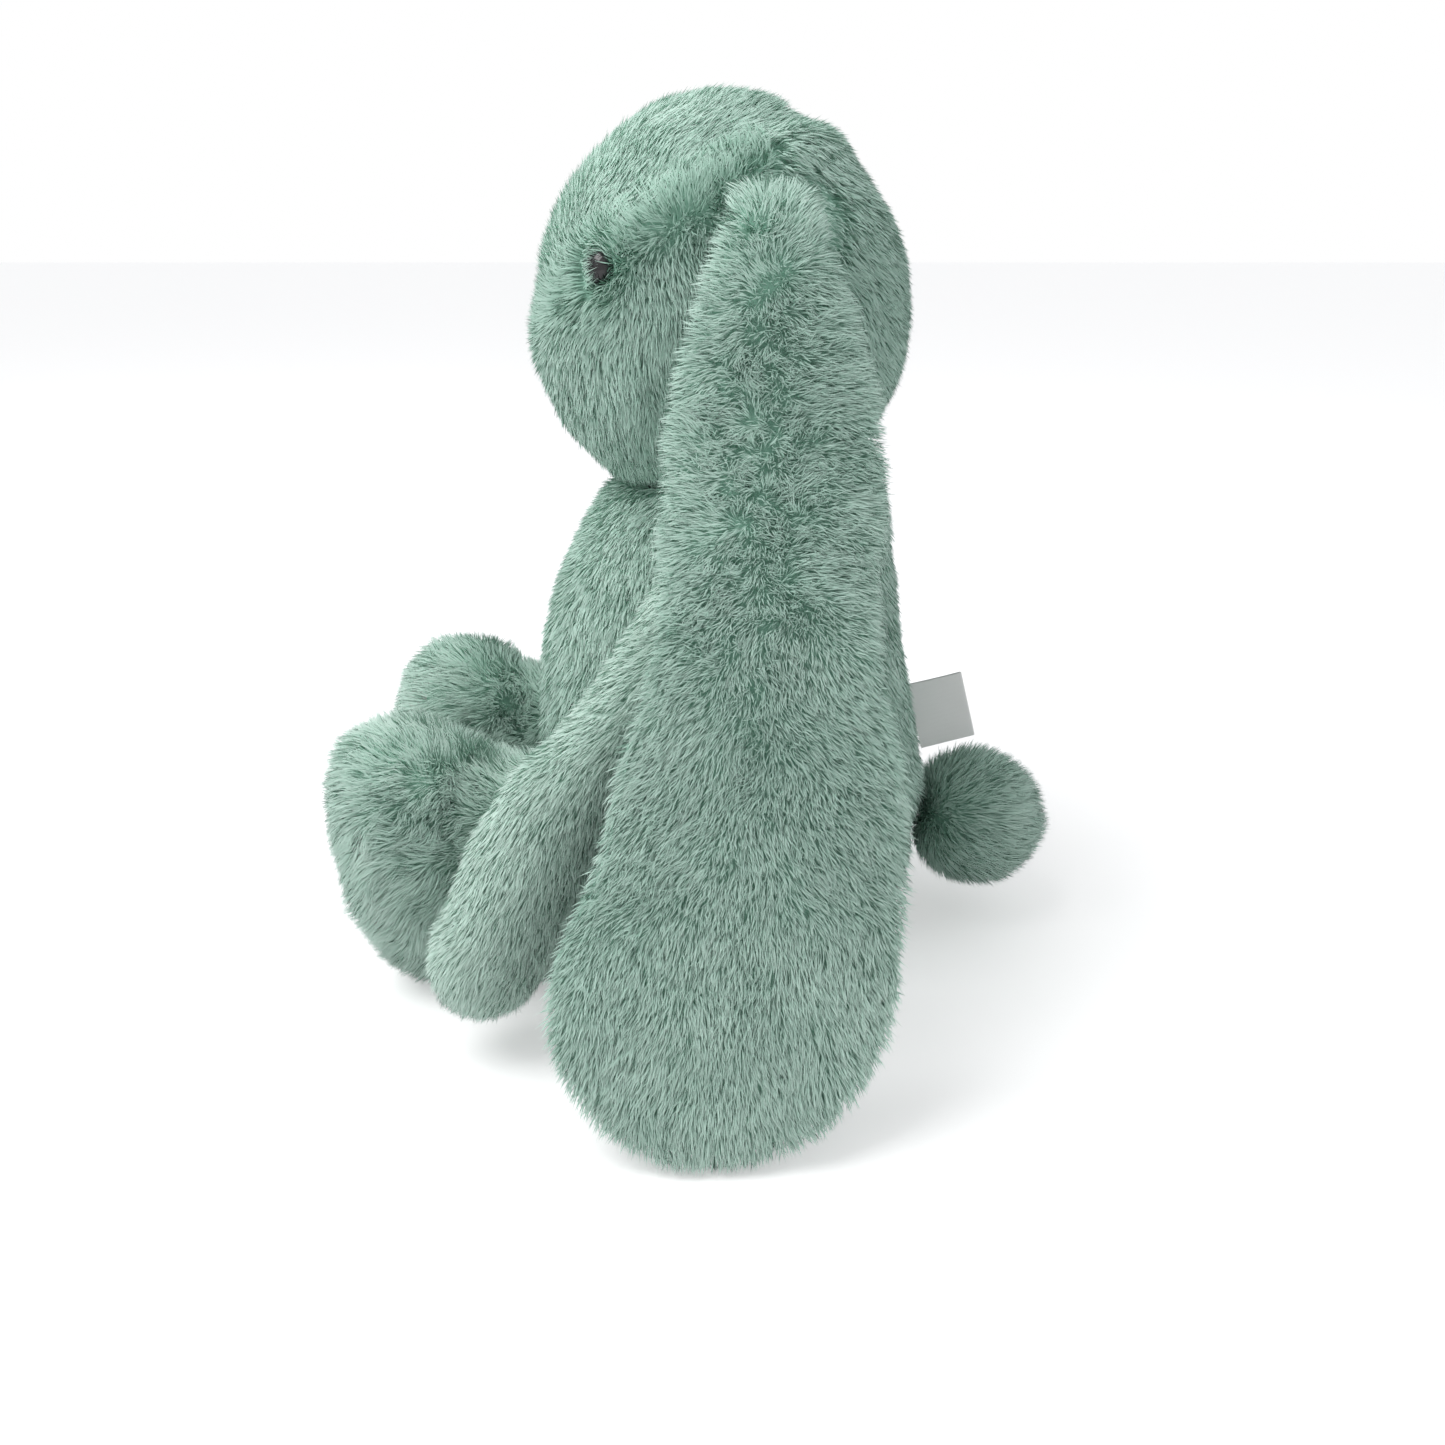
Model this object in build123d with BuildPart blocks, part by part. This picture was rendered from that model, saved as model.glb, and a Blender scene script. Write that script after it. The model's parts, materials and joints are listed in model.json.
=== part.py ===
"""A seated plush rabbit with long lop ears, as its sewn and stuffed pieces. Millimetres, +Z up, facing -Y.

Each body part is a cover of pile fabric, cut into the panels it is sewn from, around its own stuffing. A form
is the solid shape of a whole body part. Its cover is that form less the same form made smaller by the pile,
and its stuffing is the smaller form. What moves is kept clear of what it is sewn to by seam_gap.
"""

from build123d import *
from math import cos, radians, sin, sqrt
import os

os.makedirs("parts", exist_ok=True)

# --- fabric and seams
pile = 7.0  # pile fabric, from its backing to where the pile packs closed
ear_pile = 4.5  # the shorter, flattened pile of the ears
backing = 1.5  # knitted backing of the pile fabric
seam_gap = 0.3  # between two pieces that move against each other

# --- torso
seat_width = 118.0  # across the hips, at the widest height
seat_depth = 132.0  # belly to back there
seat_height = 45.0  # height of the widest section
torso_crest = 37.5  # how far above the neck the torso's upper curve would close
torso_sink = 81.0  # from the widest section down to where the lower curve would, but for the floor
torso_back_shift = 1.5  # the torso sits this far behind the head
nape_lean = 11.0  # how far the nape leans back at the collar
nape_from = 100.0  # height where the lean starts
collar = 15.0  # how far the collar climbs around the head
pellet_bag_radius = 36.0
pellet_bag_height = 26.0
pellet_bag_edge = 8.0

# --- head
head_radius = 60.0
neck_height = 157.5  # where the bottom of the head sits
muzzle_radius = 36.0
muzzle_forward = 27.0
muzzle_drop = 12.5
head_nod = 10.0  # degrees that the head nods forwards
head_turn = 20.0  # degrees that it turns each way
neck_thread = 2.0  # thickness of the thread that gathers the neck
neck_thread_angle = 28.0  # around the bottom of the head, from straight down
gusset_at_nose = (6.0, -60.0, -3.5)  # the gusset's seam beside the nose, from the head's centre
gusset_over_eye = (45.0, -34.0, 19.5)
gusset_at_ear = (42.0, 11.0, 43.5)
gusset_end_drop = 20.0  # the gusset's point, under the nose, is above this far below the head's centre
nose_width = 11.0
nose_height = 7.0
nose_proud = 1.0
nose_depth = 2.5

# --- eyes
eye_diameter = 10.0
eye_dome = 4.5
eye_shank = 3.2
eye_shank_length = 9.0
eye_washer = 12.0
eye_washer_thickness = 1.5
eye_side_angle = 50.5  # direction from the head's centre: degrees round from straight ahead
eye_rise_angle = 8.5  # and up

# --- ears
ear_root_angle = 62.0  # around the head from the top, seen from the front
ear_root_back = 13.5  # behind the head's centre
ear_root_radius = 4.5
ear_root_width = 20.0
ear_thickness = 14.0
ear_width = 96.0
ear_hang_angle = 98.0  # around the head, where the ear leaves it and hangs straight
ear_hang_off = 9.0  # how far off the head it stands there
ear_tip_lift = 1.5  # height of the last section's middle
ear_spread = 38.5  # from the outside of the paw to the tip of the ear
ear_tip_forward = 3.0

# --- arms
arm_root_radius = 14.0
paw_radius = 19.0
shoulder_drop = 19.5  # below the bottom of the head
shoulder_forward = 5.0
shoulder_dimple = 0.1  # how deep the arm's round end sits in the torso
paw_forward = 70.0
paw_height = 32.0
paw_gap = 4.0  # between paw and leg

# --- legs
leg_width = 61.0
leg_height = 76.0
legs_apart = 23.0
leg_back = 38.0  # where the leg's cover starts, in front of the spine
leg_hinge_forward = 43.5  # the seam it folds up about, in front of the spine
leg_hinge_clear = 0.5  # over the top of the leg
foot_width = 68.0
foot_height = 88.0
foot_reach = 124.5  # from the spine to the sole
foot_length = 32.0
sole_thickness = 9.0

# --- tail
tail_radius = 24.0
tail_height = 36.5
tail_press = 2.0  # how far the tail sits into the back
tail_pivot_depth = 6.0  # the seam it wags about, under the surface of the back
tail_wag = 15.0  # degrees each way

# --- label
label_length = 19.0
label_height = 24.0
label_ribbon = 0.5
label_fold_gap = 0.5
label_level = 75.0
label_seat = 0.9  # from the curved back to the straight fold of the ribbon

# --- places worked out from the sizes
tail_back = torso_back_shift + seat_depth / 2 + 2 * tail_radius - tail_press
spine = (foot_reach - tail_back) / 2  # so that the origin is the middle of the whole
head_height = neck_height + head_radius
torso_reach = neck_height + torso_crest - seat_height
head_centre = Vector(0, spine, head_height)
muzzle = Vector(0, -muzzle_forward, -muzzle_drop)
leg_x = (legs_apart + leg_width) / 2
paw_x = leg_x + leg_width / 2 + paw_gap + paw_radius
ear_tip_x = paw_x + paw_radius + ear_spread
shoulder_z = neck_height - shoulder_drop


def torso_share(z):
    """How wide the torso is at a height, as a share of its widest section."""
    curve = torso_reach if z > seat_height else torso_sink
    return sqrt(1 - ((z - seat_height) / curve) ** 2)


def torso_middle(z):
    """Where the torso's section is centred along Y at a height."""
    climb = max(0.0, z - nape_from) / (neck_height + collar - nape_from)
    return spine + torso_back_shift + nape_lean * climb**3


def torso_back(z):
    return torso_middle(z) + seat_depth / 2 * torso_share(z)


def torso_form(grow, floor):
    """The pear of the torso, grown or shrunk all round, from the floor to the collar."""
    top = neck_height + collar
    heights = [floor + (top - floor) * n / 10 for n in range(11)]
    with BuildPart() as form:
        for z in heights:
            with BuildSketch(Plane((0, torso_middle(z), z))):
                share = torso_share(z)
                Ellipse(seat_width / 2 * share + grow, seat_depth / 2 * share + grow)
        loft()
    return form.part


def head_form(grow):
    """A ball with the muzzle standing a little out of it."""
    with BuildPart() as form:
        with Locations(head_centre):
            Sphere(head_radius + grow)
        with Locations(head_centre + muzzle):
            Sphere(muzzle_radius + grow)
    return form.part


# ============================== torso
shoulder_x = seat_width / 2 * torso_share(shoulder_z) + arm_root_radius - shoulder_dimple
shoulder = Vector(shoulder_x, spine - shoulder_forward, shoulder_z)
tail_pivot = Vector(0, torso_back(tail_height) - tail_pivot_depth, tail_height)
tail_arm = tail_pivot_depth + tail_radius - tail_press
neck_ring_radius = (head_radius + seam_gap + neck_thread / 2) * sin(radians(neck_thread_angle))
neck_ring_drop = (head_radius + seam_gap + neck_thread / 2) * cos(radians(neck_thread_angle))
neck_ring = head_centre - Vector(0, 0, neck_ring_drop)
steps = [n / 2 for n in range(-2, 3)]  # shares of a swing, from one limit to the other
tail_places = [tail_pivot + Vector(0, tail_arm, 0).rotate(Axis.Z, tail_wag * step) for step in steps]
nodded_muzzle = muzzle.rotate(Axis.X, head_nod)
muzzle_places = [head_centre + nodded_muzzle.rotate(Axis.Z, head_turn * step) for step in steps]

with BuildPart() as torso_outside:
    add(torso_form(0, 0))
    with Locations(head_centre):
        Sphere(head_radius + seam_gap, mode=Mode.SUBTRACT)
    with Locations(*muzzle_places):
        Sphere(muzzle_radius + seam_gap, mode=Mode.SUBTRACT)
    with Locations(neck_ring):
        Torus(neck_ring_radius, neck_thread / 2 + seam_gap, mode=Mode.SUBTRACT)
    with Locations(shoulder, Vector(-shoulder.X, shoulder.Y, shoulder.Z)):
        Sphere(arm_root_radius + seam_gap, mode=Mode.SUBTRACT)
    with Locations(*tail_places):
        Sphere(tail_radius + seam_gap, mode=Mode.SUBTRACT)

with BuildPart() as torso_inside:
    add(torso_form(-pile, pile))
    with Locations(head_centre):
        Sphere(head_radius + seam_gap + pile, mode=Mode.SUBTRACT)

with BuildPart() as torso_cover:
    add(torso_outside.part)
    add(torso_inside.part, mode=Mode.SUBTRACT)

side_seam = Plane((0, spine + torso_back_shift, 0), z_dir=(0, 1, 0))

with BuildPart() as belly_panel:
    add(torso_cover.part)
    split(bisect_by=side_seam, keep=Keep.BOTTOM)

with BuildPart() as back_panel_left:
    add(torso_cover.part)
    split(bisect_by=side_seam, keep=Keep.TOP)
    split(bisect_by=Plane.YZ, keep=Keep.TOP)

with BuildPart() as back_panel_right:
    add(torso_cover.part)
    split(bisect_by=side_seam, keep=Keep.TOP)
    split(bisect_by=Plane.YZ, keep=Keep.BOTTOM)

with BuildPart() as pellet_bag:
    with Locations((0, torso_middle(pile), 2 * pile)):
        Cylinder(pellet_bag_radius, pellet_bag_height, align=(Align.CENTER, Align.CENTER, Align.MIN))
    fillet(pellet_bag.edges().filter_by(GeomType.CIRCLE), pellet_bag_edge)

with BuildPart() as torso_filling:
    add(torso_inside.part)
    add(pellet_bag.part, mode=Mode.SUBTRACT)

with BuildPart() as neck_thread_ring:
    with Locations(neck_ring):
        Torus(neck_ring_radius, neck_thread / 2)

# ============================== head


def eye_plane(side, depth):
    """A plane facing out of the head along the eye's line, this deep under the pile."""
    turn, rise = radians(eye_side_angle), radians(eye_rise_angle)
    line = Vector(side * sin(turn) * cos(rise), -cos(turn) * cos(rise), sin(rise))
    return Plane(head_centre + line * (head_radius - depth), z_dir=line)


def eye_form(side):
    with BuildPart() as form:
        with BuildSketch(eye_plane(side, pile - backing)):
            Circle(eye_diameter / 2)
        extrude(amount=eye_dome)
        fillet(form.faces().sort_by(Axis(head_centre, eye_plane(side, 0).z_dir))[-1].edges(), eye_dome * 0.9)
        with BuildSketch(eye_plane(side, pile - backing)):
            Circle(eye_shank / 2)
        extrude(amount=-eye_shank_length)
    return form.part


washer_depth = head_radius - sqrt((head_radius - pile) ** 2 - (eye_washer / 2) ** 2)


def washer_form(side):
    with BuildPart() as form:
        with BuildSketch(eye_plane(side, washer_depth)):
            Circle(eye_washer / 2)
            Circle(eye_shank / 2, mode=Mode.SUBTRACT)
        extrude(amount=-eye_washer_thickness)
    return form.part


with BuildPart() as eye_left:
    add(eye_form(1))

with BuildPart() as eye_right:
    add(eye_form(-1))

with BuildPart() as eye_washer_left:
    add(washer_form(1))

with BuildPart() as eye_washer_right:
    add(washer_form(-1))

nose_y = head_centre.Y - muzzle_forward - muzzle_radius - nose_proud
nose_z = head_centre.Z - muzzle_drop + nose_height / 2

with BuildPart() as nose:
    with BuildSketch(Plane((0, nose_y, nose_z), x_dir=(1, 0, 0), z_dir=(0, -1, 0))):
        with BuildLine():
            Polyline(
                (-nose_width / 2, nose_height / 2),
                (nose_width / 2, nose_height / 2),
                (0, -nose_height / 2),
                close=True,
            )
        make_face()
    extrude(amount=-nose_depth - nose_proud)
    fillet(nose.edges().filter_by(Axis.Y), nose_height / 6)

with BuildPart() as head_cover:
    add(head_form(0))
    add(head_form(-pile), mode=Mode.SUBTRACT)
    for side in (1, -1):
        with BuildSketch(eye_plane(side, pile - backing)):
            Circle(eye_diameter / 2)
        extrude(amount=pile, mode=Mode.SUBTRACT)
        with BuildSketch(eye_plane(side, pile - backing)):
            Circle(eye_shank / 2)
        extrude(amount=-pile, mode=Mode.SUBTRACT)
    add(nose.part, mode=Mode.SUBTRACT)

with BuildPart() as head_filling:
    add(head_form(-pile))
    add([eye_left.part, eye_right.part], mode=Mode.SUBTRACT)
    add([eye_washer_left.part, eye_washer_right.part], mode=Mode.SUBTRACT)
    for side in (1, -1):
        with BuildSketch(eye_plane(side, washer_depth)):
            Circle(eye_washer / 2)
        extrude(amount=pile, mode=Mode.SUBTRACT)

ear_seam = Plane(head_centre + Vector(0, ear_root_back, 0), z_dir=(0, 1, 0))


def gusset_seam(side):
    """The cut of the seam that runs from the nose, over the eye, to the ear. It faces the crown."""
    at_nose, over_eye, at_ear = [
        head_centre + Vector(side * x, y, z) for x, y, z in (gusset_at_nose, gusset_over_eye, gusset_at_ear)
    ]
    return Plane(at_nose, z_dir=(over_eye - at_nose).cross(at_ear - at_nose) * side)


with BuildPart() as forehead_gusset:
    add(head_cover.part)
    split(bisect_by=ear_seam, keep=Keep.BOTTOM)
    split(bisect_by=Plane(head_centre - Vector(0, 0, gusset_end_drop)), keep=Keep.TOP)
    split(bisect_by=gusset_seam(1), keep=Keep.TOP)
    split(bisect_by=gusset_seam(-1), keep=Keep.TOP)

with BuildPart() as face:
    add(head_cover.part)
    split(bisect_by=ear_seam, keep=Keep.BOTTOM)
    add(forehead_gusset.part, mode=Mode.SUBTRACT)

with BuildPart() as face_left:
    add(face.part)
    split(bisect_by=Plane.YZ, keep=Keep.TOP)

with BuildPart() as face_right:
    add(face.part)
    split(bisect_by=Plane.YZ, keep=Keep.BOTTOM)

with BuildPart() as nape_left:
    add(head_cover.part)
    split(bisect_by=ear_seam, keep=Keep.TOP)
    split(bisect_by=Plane.YZ, keep=Keep.TOP)

with BuildPart() as nape_right:
    add(head_cover.part)
    split(bisect_by=ear_seam, keep=Keep.TOP)
    split(bisect_by=Plane.YZ, keep=Keep.BOTTOM)

# ============================== ears
ear_root_reach = sqrt((head_radius + seam_gap + ear_root_radius) ** 2 - ear_root_back**2)
ear_drape = head_radius + seam_gap + ear_thickness / 2


def beside_head(angle, reach):
    """A point (x, z) this far from the head's centre, at an angle from straight up."""
    return reach * sin(radians(angle)), head_height + reach * cos(radians(angle))


def over_head(share):
    """A point (x, z) of the stretch that lies over the head, from the root to where the ear hangs straight."""
    angle = ear_root_angle + (ear_hang_angle - ear_root_angle) * share
    return beside_head(angle, ear_drape + ear_hang_off * share**1.6)


ear_root = beside_head(ear_root_angle, ear_root_reach)
ear_leave = over_head(1)
ear_tip = (ear_tip_x, ear_tip_lift)


def along_ear(share):
    """A point (x, z) of the straight hanging length, from the head's side to the tip."""
    return tuple(a + (b - a) * share for a, b in zip(ear_leave, ear_tip))


# each section: (x, z), width and thickness as shares, and how far it has gone from root to tip along Y
ear_sections = [
    (ear_root, ear_root_width / ear_width, 2 * ear_root_radius / ear_thickness, 0.0),
    (over_head(0.34), 0.25, 0.75, 0.0),
    (over_head(0.67), 0.33, 0.85, 0.0),
    (ear_leave, 0.44, 0.95, 0.0),
    (along_ear(0.27), 0.63, 1.0, 0.05),
    (along_ear(0.52), 0.85, 1.0, 0.2),
    (along_ear(0.75), 1.0, 1.0, 0.7),
    (along_ear(0.88), 0.92, 0.95, 0.9),
    (along_ear(0.955), 0.64, 0.8, 0.95),
    (along_ear(0.985), 0.4, 0.6, 1.0),
    (ear_tip, 0.18, 0.4, 1.0),
]


def ear_plane(n):
    """The plane of an ear's section: square to the line through its neighbours, its X axis along Y."""
    (x, z), _, _, gone = ear_sections[n]
    before = ear_sections[max(n - 1, 0)][0]
    after = ear_sections[min(n + 1, len(ear_sections) - 1)][0]
    y = spine + ear_root_back - gone * (ear_root_back + ear_tip_forward)
    down = Vector(after[0] - before[0], 0, after[1] - before[1])
    return Plane((x, y, z), x_dir=(0, 1, 0), z_dir=down)


def ear_form(shrink, first, last):
    """The padded ear through its sections, or a smaller one all round inside it."""
    with BuildPart() as form:
        for n in range(first, last):
            _, width, thickness, _ = ear_sections[n]
            with BuildSketch(ear_plane(n)):
                Ellipse(ear_width * width / 2 - shrink, ear_thickness * thickness / 2 - shrink)
        loft()
    return form.part


def past_end(end, before):
    """The point as far past the end of a line as the point before it is short of it."""
    return tuple(2 * a - b for a, b in zip(end, before))


ear_seam_line = [section[0] for section in ear_sections]
ear_seam_line.insert(0, past_end(ear_seam_line[0], ear_seam_line[1]))
ear_seam_line.append(past_end(ear_seam_line[-1], ear_seam_line[-2]))
beside_ear = ear_tip_x + ear_width

with BuildPart() as ear_outer_side:
    with BuildSketch(Plane((0, spine, 0), x_dir=(1, 0, 0), z_dir=(0, -1, 0))):
        with BuildLine():
            Polyline(
                *ear_seam_line, (beside_ear, ear_seam_line[-1][1]), (beside_ear, ear_seam_line[0][1]), close=True
            )
        make_face()
    extrude(amount=ear_width, both=True)

with BuildPart() as ear_left_wadding:
    add(ear_form(ear_pile, 3, len(ear_sections) - 2))

with BuildPart() as ear_left_cover:
    add(ear_form(0, 0, len(ear_sections)))
    add(ear_left_wadding.part, mode=Mode.SUBTRACT)

with BuildPart() as ear_left_outer:
    add(ear_left_cover.part)
    add(ear_outer_side.part, mode=Mode.INTERSECT)

with BuildPart() as ear_left_inner:
    add(ear_left_cover.part)
    add(ear_outer_side.part, mode=Mode.SUBTRACT)

# ============================== arms
paw = Vector(paw_x, spine - paw_forward, paw_height)
elbow = Vector(
    shoulder.X + (paw.X - shoulder.X) * 0.52,
    shoulder.Y + (paw.Y - shoulder.Y) * 0.3,
    shoulder.Z + (paw.Z - shoulder.Z) * 0.31,
)
wrist = Vector(
    shoulder.X + (paw.X - shoulder.X) * 0.87,
    shoulder.Y + (paw.Y - shoulder.Y) * 0.72,
    shoulder.Z + (paw.Z - shoulder.Z) * 0.7,
)
arm_middles = [
    (shoulder, arm_root_radius),
    (elbow, arm_root_radius * 0.7 + paw_radius * 0.3),
    (wrist, arm_root_radius * 0.25 + paw_radius * 0.75),
    (paw, paw_radius),
]
arm_end_steps = (80, 62, 42, 21)  # degrees around each round end


def arm_form(shrink):
    """A curved sausage, round at both ends, that thickens from shoulder to paw."""
    into = (elbow - shoulder).normalized()
    out = (paw - wrist).normalized()
    root = arm_root_radius - shrink
    end = paw_radius - shrink
    sections = [
        (shoulder - into * root * sin(radians(a)), into, root * cos(radians(a))) for a in arm_end_steps
    ]
    for n, (centre, radius) in enumerate(arm_middles):
        before = arm_middles[max(n - 1, 0)][0]
        after = arm_middles[min(n + 1, len(arm_middles) - 1)][0]
        sections.append((centre, after - before, radius - shrink))
    sections += [
        (paw + out * end * sin(radians(a)), out, end * cos(radians(a))) for a in reversed(arm_end_steps)
    ]
    with BuildPart() as form:
        for centre, along, radius in sections:
            with BuildSketch(Plane(centre, x_dir=(0, 1, 0), z_dir=along)):
                Circle(radius)
        loft()
    return form.part


arm_length_line = paw - shoulder
arm_seam = Plane(shoulder, x_dir=(0, 1, 0), z_dir=arm_length_line.cross(Vector(0, 1, 0)) * -1)

with BuildPart() as arm_left_filling:
    add(arm_form(pile))

with BuildPart() as arm_left_cover:
    add(arm_form(0))
    add(arm_left_filling.part, mode=Mode.SUBTRACT)

with BuildPart() as arm_left_outer:
    add(arm_left_cover.part)
    split(bisect_by=arm_seam, keep=Keep.TOP)

with BuildPart() as arm_left_inner:
    add(arm_left_cover.part)
    split(bisect_by=arm_seam, keep=Keep.BOTTOM)

# ============================== legs
sole_y = spine - foot_reach
# each section: how far behind the sole, half width, half height, and how far its bottom is off the floor
leg_sections = [
    (0.0, foot_width * 0.2, foot_height * 0.23, foot_height * 0.29),
    (3.0, foot_width * 0.34, foot_height * 0.36, foot_height * 0.18),
    (9.0, foot_width * 0.44, foot_height * 0.45, foot_height * 0.07),
    (foot_length * 0.6, foot_width / 2, foot_height / 2, 0.0),
    (foot_length * 1.1, foot_width * 0.49, foot_height * 0.48, 0.0),
    (foot_length * 1.7, leg_width / 2, leg_height / 2, 0.0),
    (foot_reach - leg_back - 8.0, leg_width / 2, leg_height / 2, 0.0),
    (foot_reach - leg_back, leg_width * 0.42, leg_height * 0.44, leg_height * 0.06),
]


def leg_form(shrink, first, last):
    """A stuffed leg lying along Y with its foot upright in front, resting on the floor."""
    with BuildPart() as form:
        for behind, half_width, half_height, lift in leg_sections[first:last]:
            centre = (leg_x, sole_y + behind, half_height + lift)
            with BuildSketch(Plane(centre, x_dir=(1, 0, 0), z_dir=(0, 1, 0))):
                Ellipse(half_width - shrink, half_height - shrink)
        loft()
    return form.part


with BuildPart() as leg_left_outside:
    add(leg_form(0, 0, len(leg_sections)))
    add(torso_form(seam_gap, 0), mode=Mode.SUBTRACT)
    split(bisect_by=Plane.XY, keep=Keep.TOP)

with BuildPart() as leg_left_filling:
    add(leg_form(pile, 2, len(leg_sections) - 1))
    add(torso_form(seam_gap + pile, 0), mode=Mode.SUBTRACT)

with BuildPart() as leg_left_cover:
    add(leg_left_outside.part)
    add(leg_left_filling.part, mode=Mode.SUBTRACT)

sole_seam = Plane((0, sole_y + sole_thickness, 0), z_dir=(0, 1, 0))
leg_seam = Plane((leg_x, 0, 0), z_dir=(1, 0, 0))

with BuildPart() as leg_left_sole:
    add(leg_left_cover.part)
    split(bisect_by=sole_seam, keep=Keep.BOTTOM)

with BuildPart() as leg_left_outer:
    add(leg_left_cover.part)
    split(bisect_by=sole_seam, keep=Keep.TOP)
    split(bisect_by=leg_seam, keep=Keep.TOP)

with BuildPart() as leg_left_inner:
    add(leg_left_cover.part)
    split(bisect_by=sole_seam, keep=Keep.TOP)
    split(bisect_by=leg_seam, keep=Keep.BOTTOM)

# ============================== tail
tail_centre = tail_pivot + Vector(0, tail_arm, 0)

with BuildPart() as tail_filling:
    with Locations(tail_centre):
        Sphere(tail_radius - pile)

with BuildPart() as tail_cover:
    with Locations(tail_centre):
        Sphere(tail_radius)
    add(tail_filling.part, mode=Mode.SUBTRACT)

# ============================== label
label_thickness = 2 * label_ribbon + label_fold_gap
label_low = label_level - label_height / 2
label_high = label_level + label_height / 2
label_lean = torso_back(label_low) - torso_back(label_high)
label_along = Vector(0, -label_lean, label_height).normalized()
label_plane = Plane(
    (0, torso_back(label_low) + label_seat, label_low),
    x_dir=Vector(0, label_along.Z, -label_along.Y),
    z_dir=label_along,
)

with BuildPart() as label:
    with BuildSketch(label_plane):
        with BuildLine():
            fold = label_length - label_thickness / 2
            Line((0, label_thickness / 2), (fold, label_thickness / 2))
            ThreePointArc(
                (fold, label_thickness / 2), (label_length, 0), (fold, -label_thickness / 2)
            )
            Line((fold, -label_thickness / 2), (0, -label_thickness / 2))
            Line((0, -label_thickness / 2), (0, -label_fold_gap / 2))
            Line((0, -label_fold_gap / 2), (fold, -label_fold_gap / 2))
            ThreePointArc(
                (fold, -label_fold_gap / 2), (fold + label_fold_gap / 2, 0), (fold, label_fold_gap / 2)
            )
            Line((fold, label_fold_gap / 2), (0, label_fold_gap / 2))
            Line((0, label_fold_gap / 2), (0, label_thickness / 2))
        make_face()
    extrude(amount=label_height)

# ============================== write every piece
middle_pieces = {
    "belly_panel": belly_panel,
    "back_panel_left": back_panel_left,
    "back_panel_right": back_panel_right,
    "torso_filling": torso_filling,
    "pellet_bag": pellet_bag,
    "neck_thread_ring": neck_thread_ring,
    "forehead_gusset": forehead_gusset,
    "face_left": face_left,
    "face_right": face_right,
    "nape_left": nape_left,
    "nape_right": nape_right,
    "head_filling": head_filling,
    "eye_left": eye_left,
    "eye_right": eye_right,
    "eye_washer_left": eye_washer_left,
    "eye_washer_right": eye_washer_right,
    "nose": nose,
    "tail_cover": tail_cover,
    "tail_filling": tail_filling,
    "label": label,
}
for name, piece in middle_pieces.items():
    piece.part.label = name
    export_step(piece.part, f"parts/{name}.step")

limb_pieces = {
    "ear_{}_outer": ear_left_outer,
    "ear_{}_inner": ear_left_inner,
    "ear_{}_wadding": ear_left_wadding,
    "arm_{}_outer": arm_left_outer,
    "arm_{}_inner": arm_left_inner,
    "arm_{}_filling": arm_left_filling,
    "leg_{}_outer": leg_left_outer,
    "leg_{}_inner": leg_left_inner,
    "leg_{}_sole": leg_left_sole,
    "leg_{}_filling": leg_left_filling,
}
for name, piece in limb_pieces.items():
    piece.part.label = name.format("left")
    export_step(piece.part, f"parts/{name.format('left')}.step")
    with BuildPart() as twin:
        add(piece.part)
        mirror(about=Plane.YZ, mode=Mode.REPLACE)
    twin.part.label = name.format("right")
    export_step(twin.part, f"parts/{name.format('right')}.step")

print("spine at y", round(spine, 2), "head centre z", head_height)
print("shoulder", shoulder, "paw", paw)
print("ear root", ear_root, "ear tip", ear_tip)
print("tail pivot", tail_pivot, "neck ring", neck_ring, "radius", round(neck_ring_radius, 2))
print("leg x", leg_x, "leg hinge y", spine - leg_hinge_forward, "z", leg_height + leg_hinge_clear)
print("label root", label_plane.origin, "along", label_along)
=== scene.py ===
# %% [markdown]
# # A seated plush rabbit with long lop ears
# A soft toy is a set of sewn panels of pile fabric, stuffed until they are tight. What the eye sees is almost
# only the pile: hundreds of thousands of fine fibres that stand on a knitted backing and lean the way the
# cloth was brushed. So this lesson makes each body part in three steps: the stuffed form, the panels it is
# sewn from, and the fur that grows on each panel.

# %% Load the frame
import json

import bpy
import numpy as np
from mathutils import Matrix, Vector
from mathutils.bvhtree import BVHTree
from mathutils.kdtree import KDTree


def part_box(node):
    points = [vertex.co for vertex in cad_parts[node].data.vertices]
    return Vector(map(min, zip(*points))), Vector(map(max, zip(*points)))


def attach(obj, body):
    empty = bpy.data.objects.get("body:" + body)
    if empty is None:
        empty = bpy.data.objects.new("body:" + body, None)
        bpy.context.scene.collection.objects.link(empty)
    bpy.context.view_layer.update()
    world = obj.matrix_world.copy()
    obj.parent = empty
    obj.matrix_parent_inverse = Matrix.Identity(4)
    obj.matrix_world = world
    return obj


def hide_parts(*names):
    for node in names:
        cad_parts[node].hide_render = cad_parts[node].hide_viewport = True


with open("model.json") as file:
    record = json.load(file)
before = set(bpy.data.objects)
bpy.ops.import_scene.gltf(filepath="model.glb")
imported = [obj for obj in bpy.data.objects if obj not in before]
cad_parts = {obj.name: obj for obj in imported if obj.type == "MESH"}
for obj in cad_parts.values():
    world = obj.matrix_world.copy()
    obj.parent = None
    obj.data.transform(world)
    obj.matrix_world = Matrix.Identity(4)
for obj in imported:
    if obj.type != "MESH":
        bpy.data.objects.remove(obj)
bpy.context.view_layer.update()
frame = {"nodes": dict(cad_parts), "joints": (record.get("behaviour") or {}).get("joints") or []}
nodes = frame["nodes"]
MM = 0.001

# %% [markdown]
# ## The camera
# The toy is seen from its left side, a little above the level of its head, from half a metre away. A near
# camera makes the near ear large against the far foot, so the distance matters as much as the direction.

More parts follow.
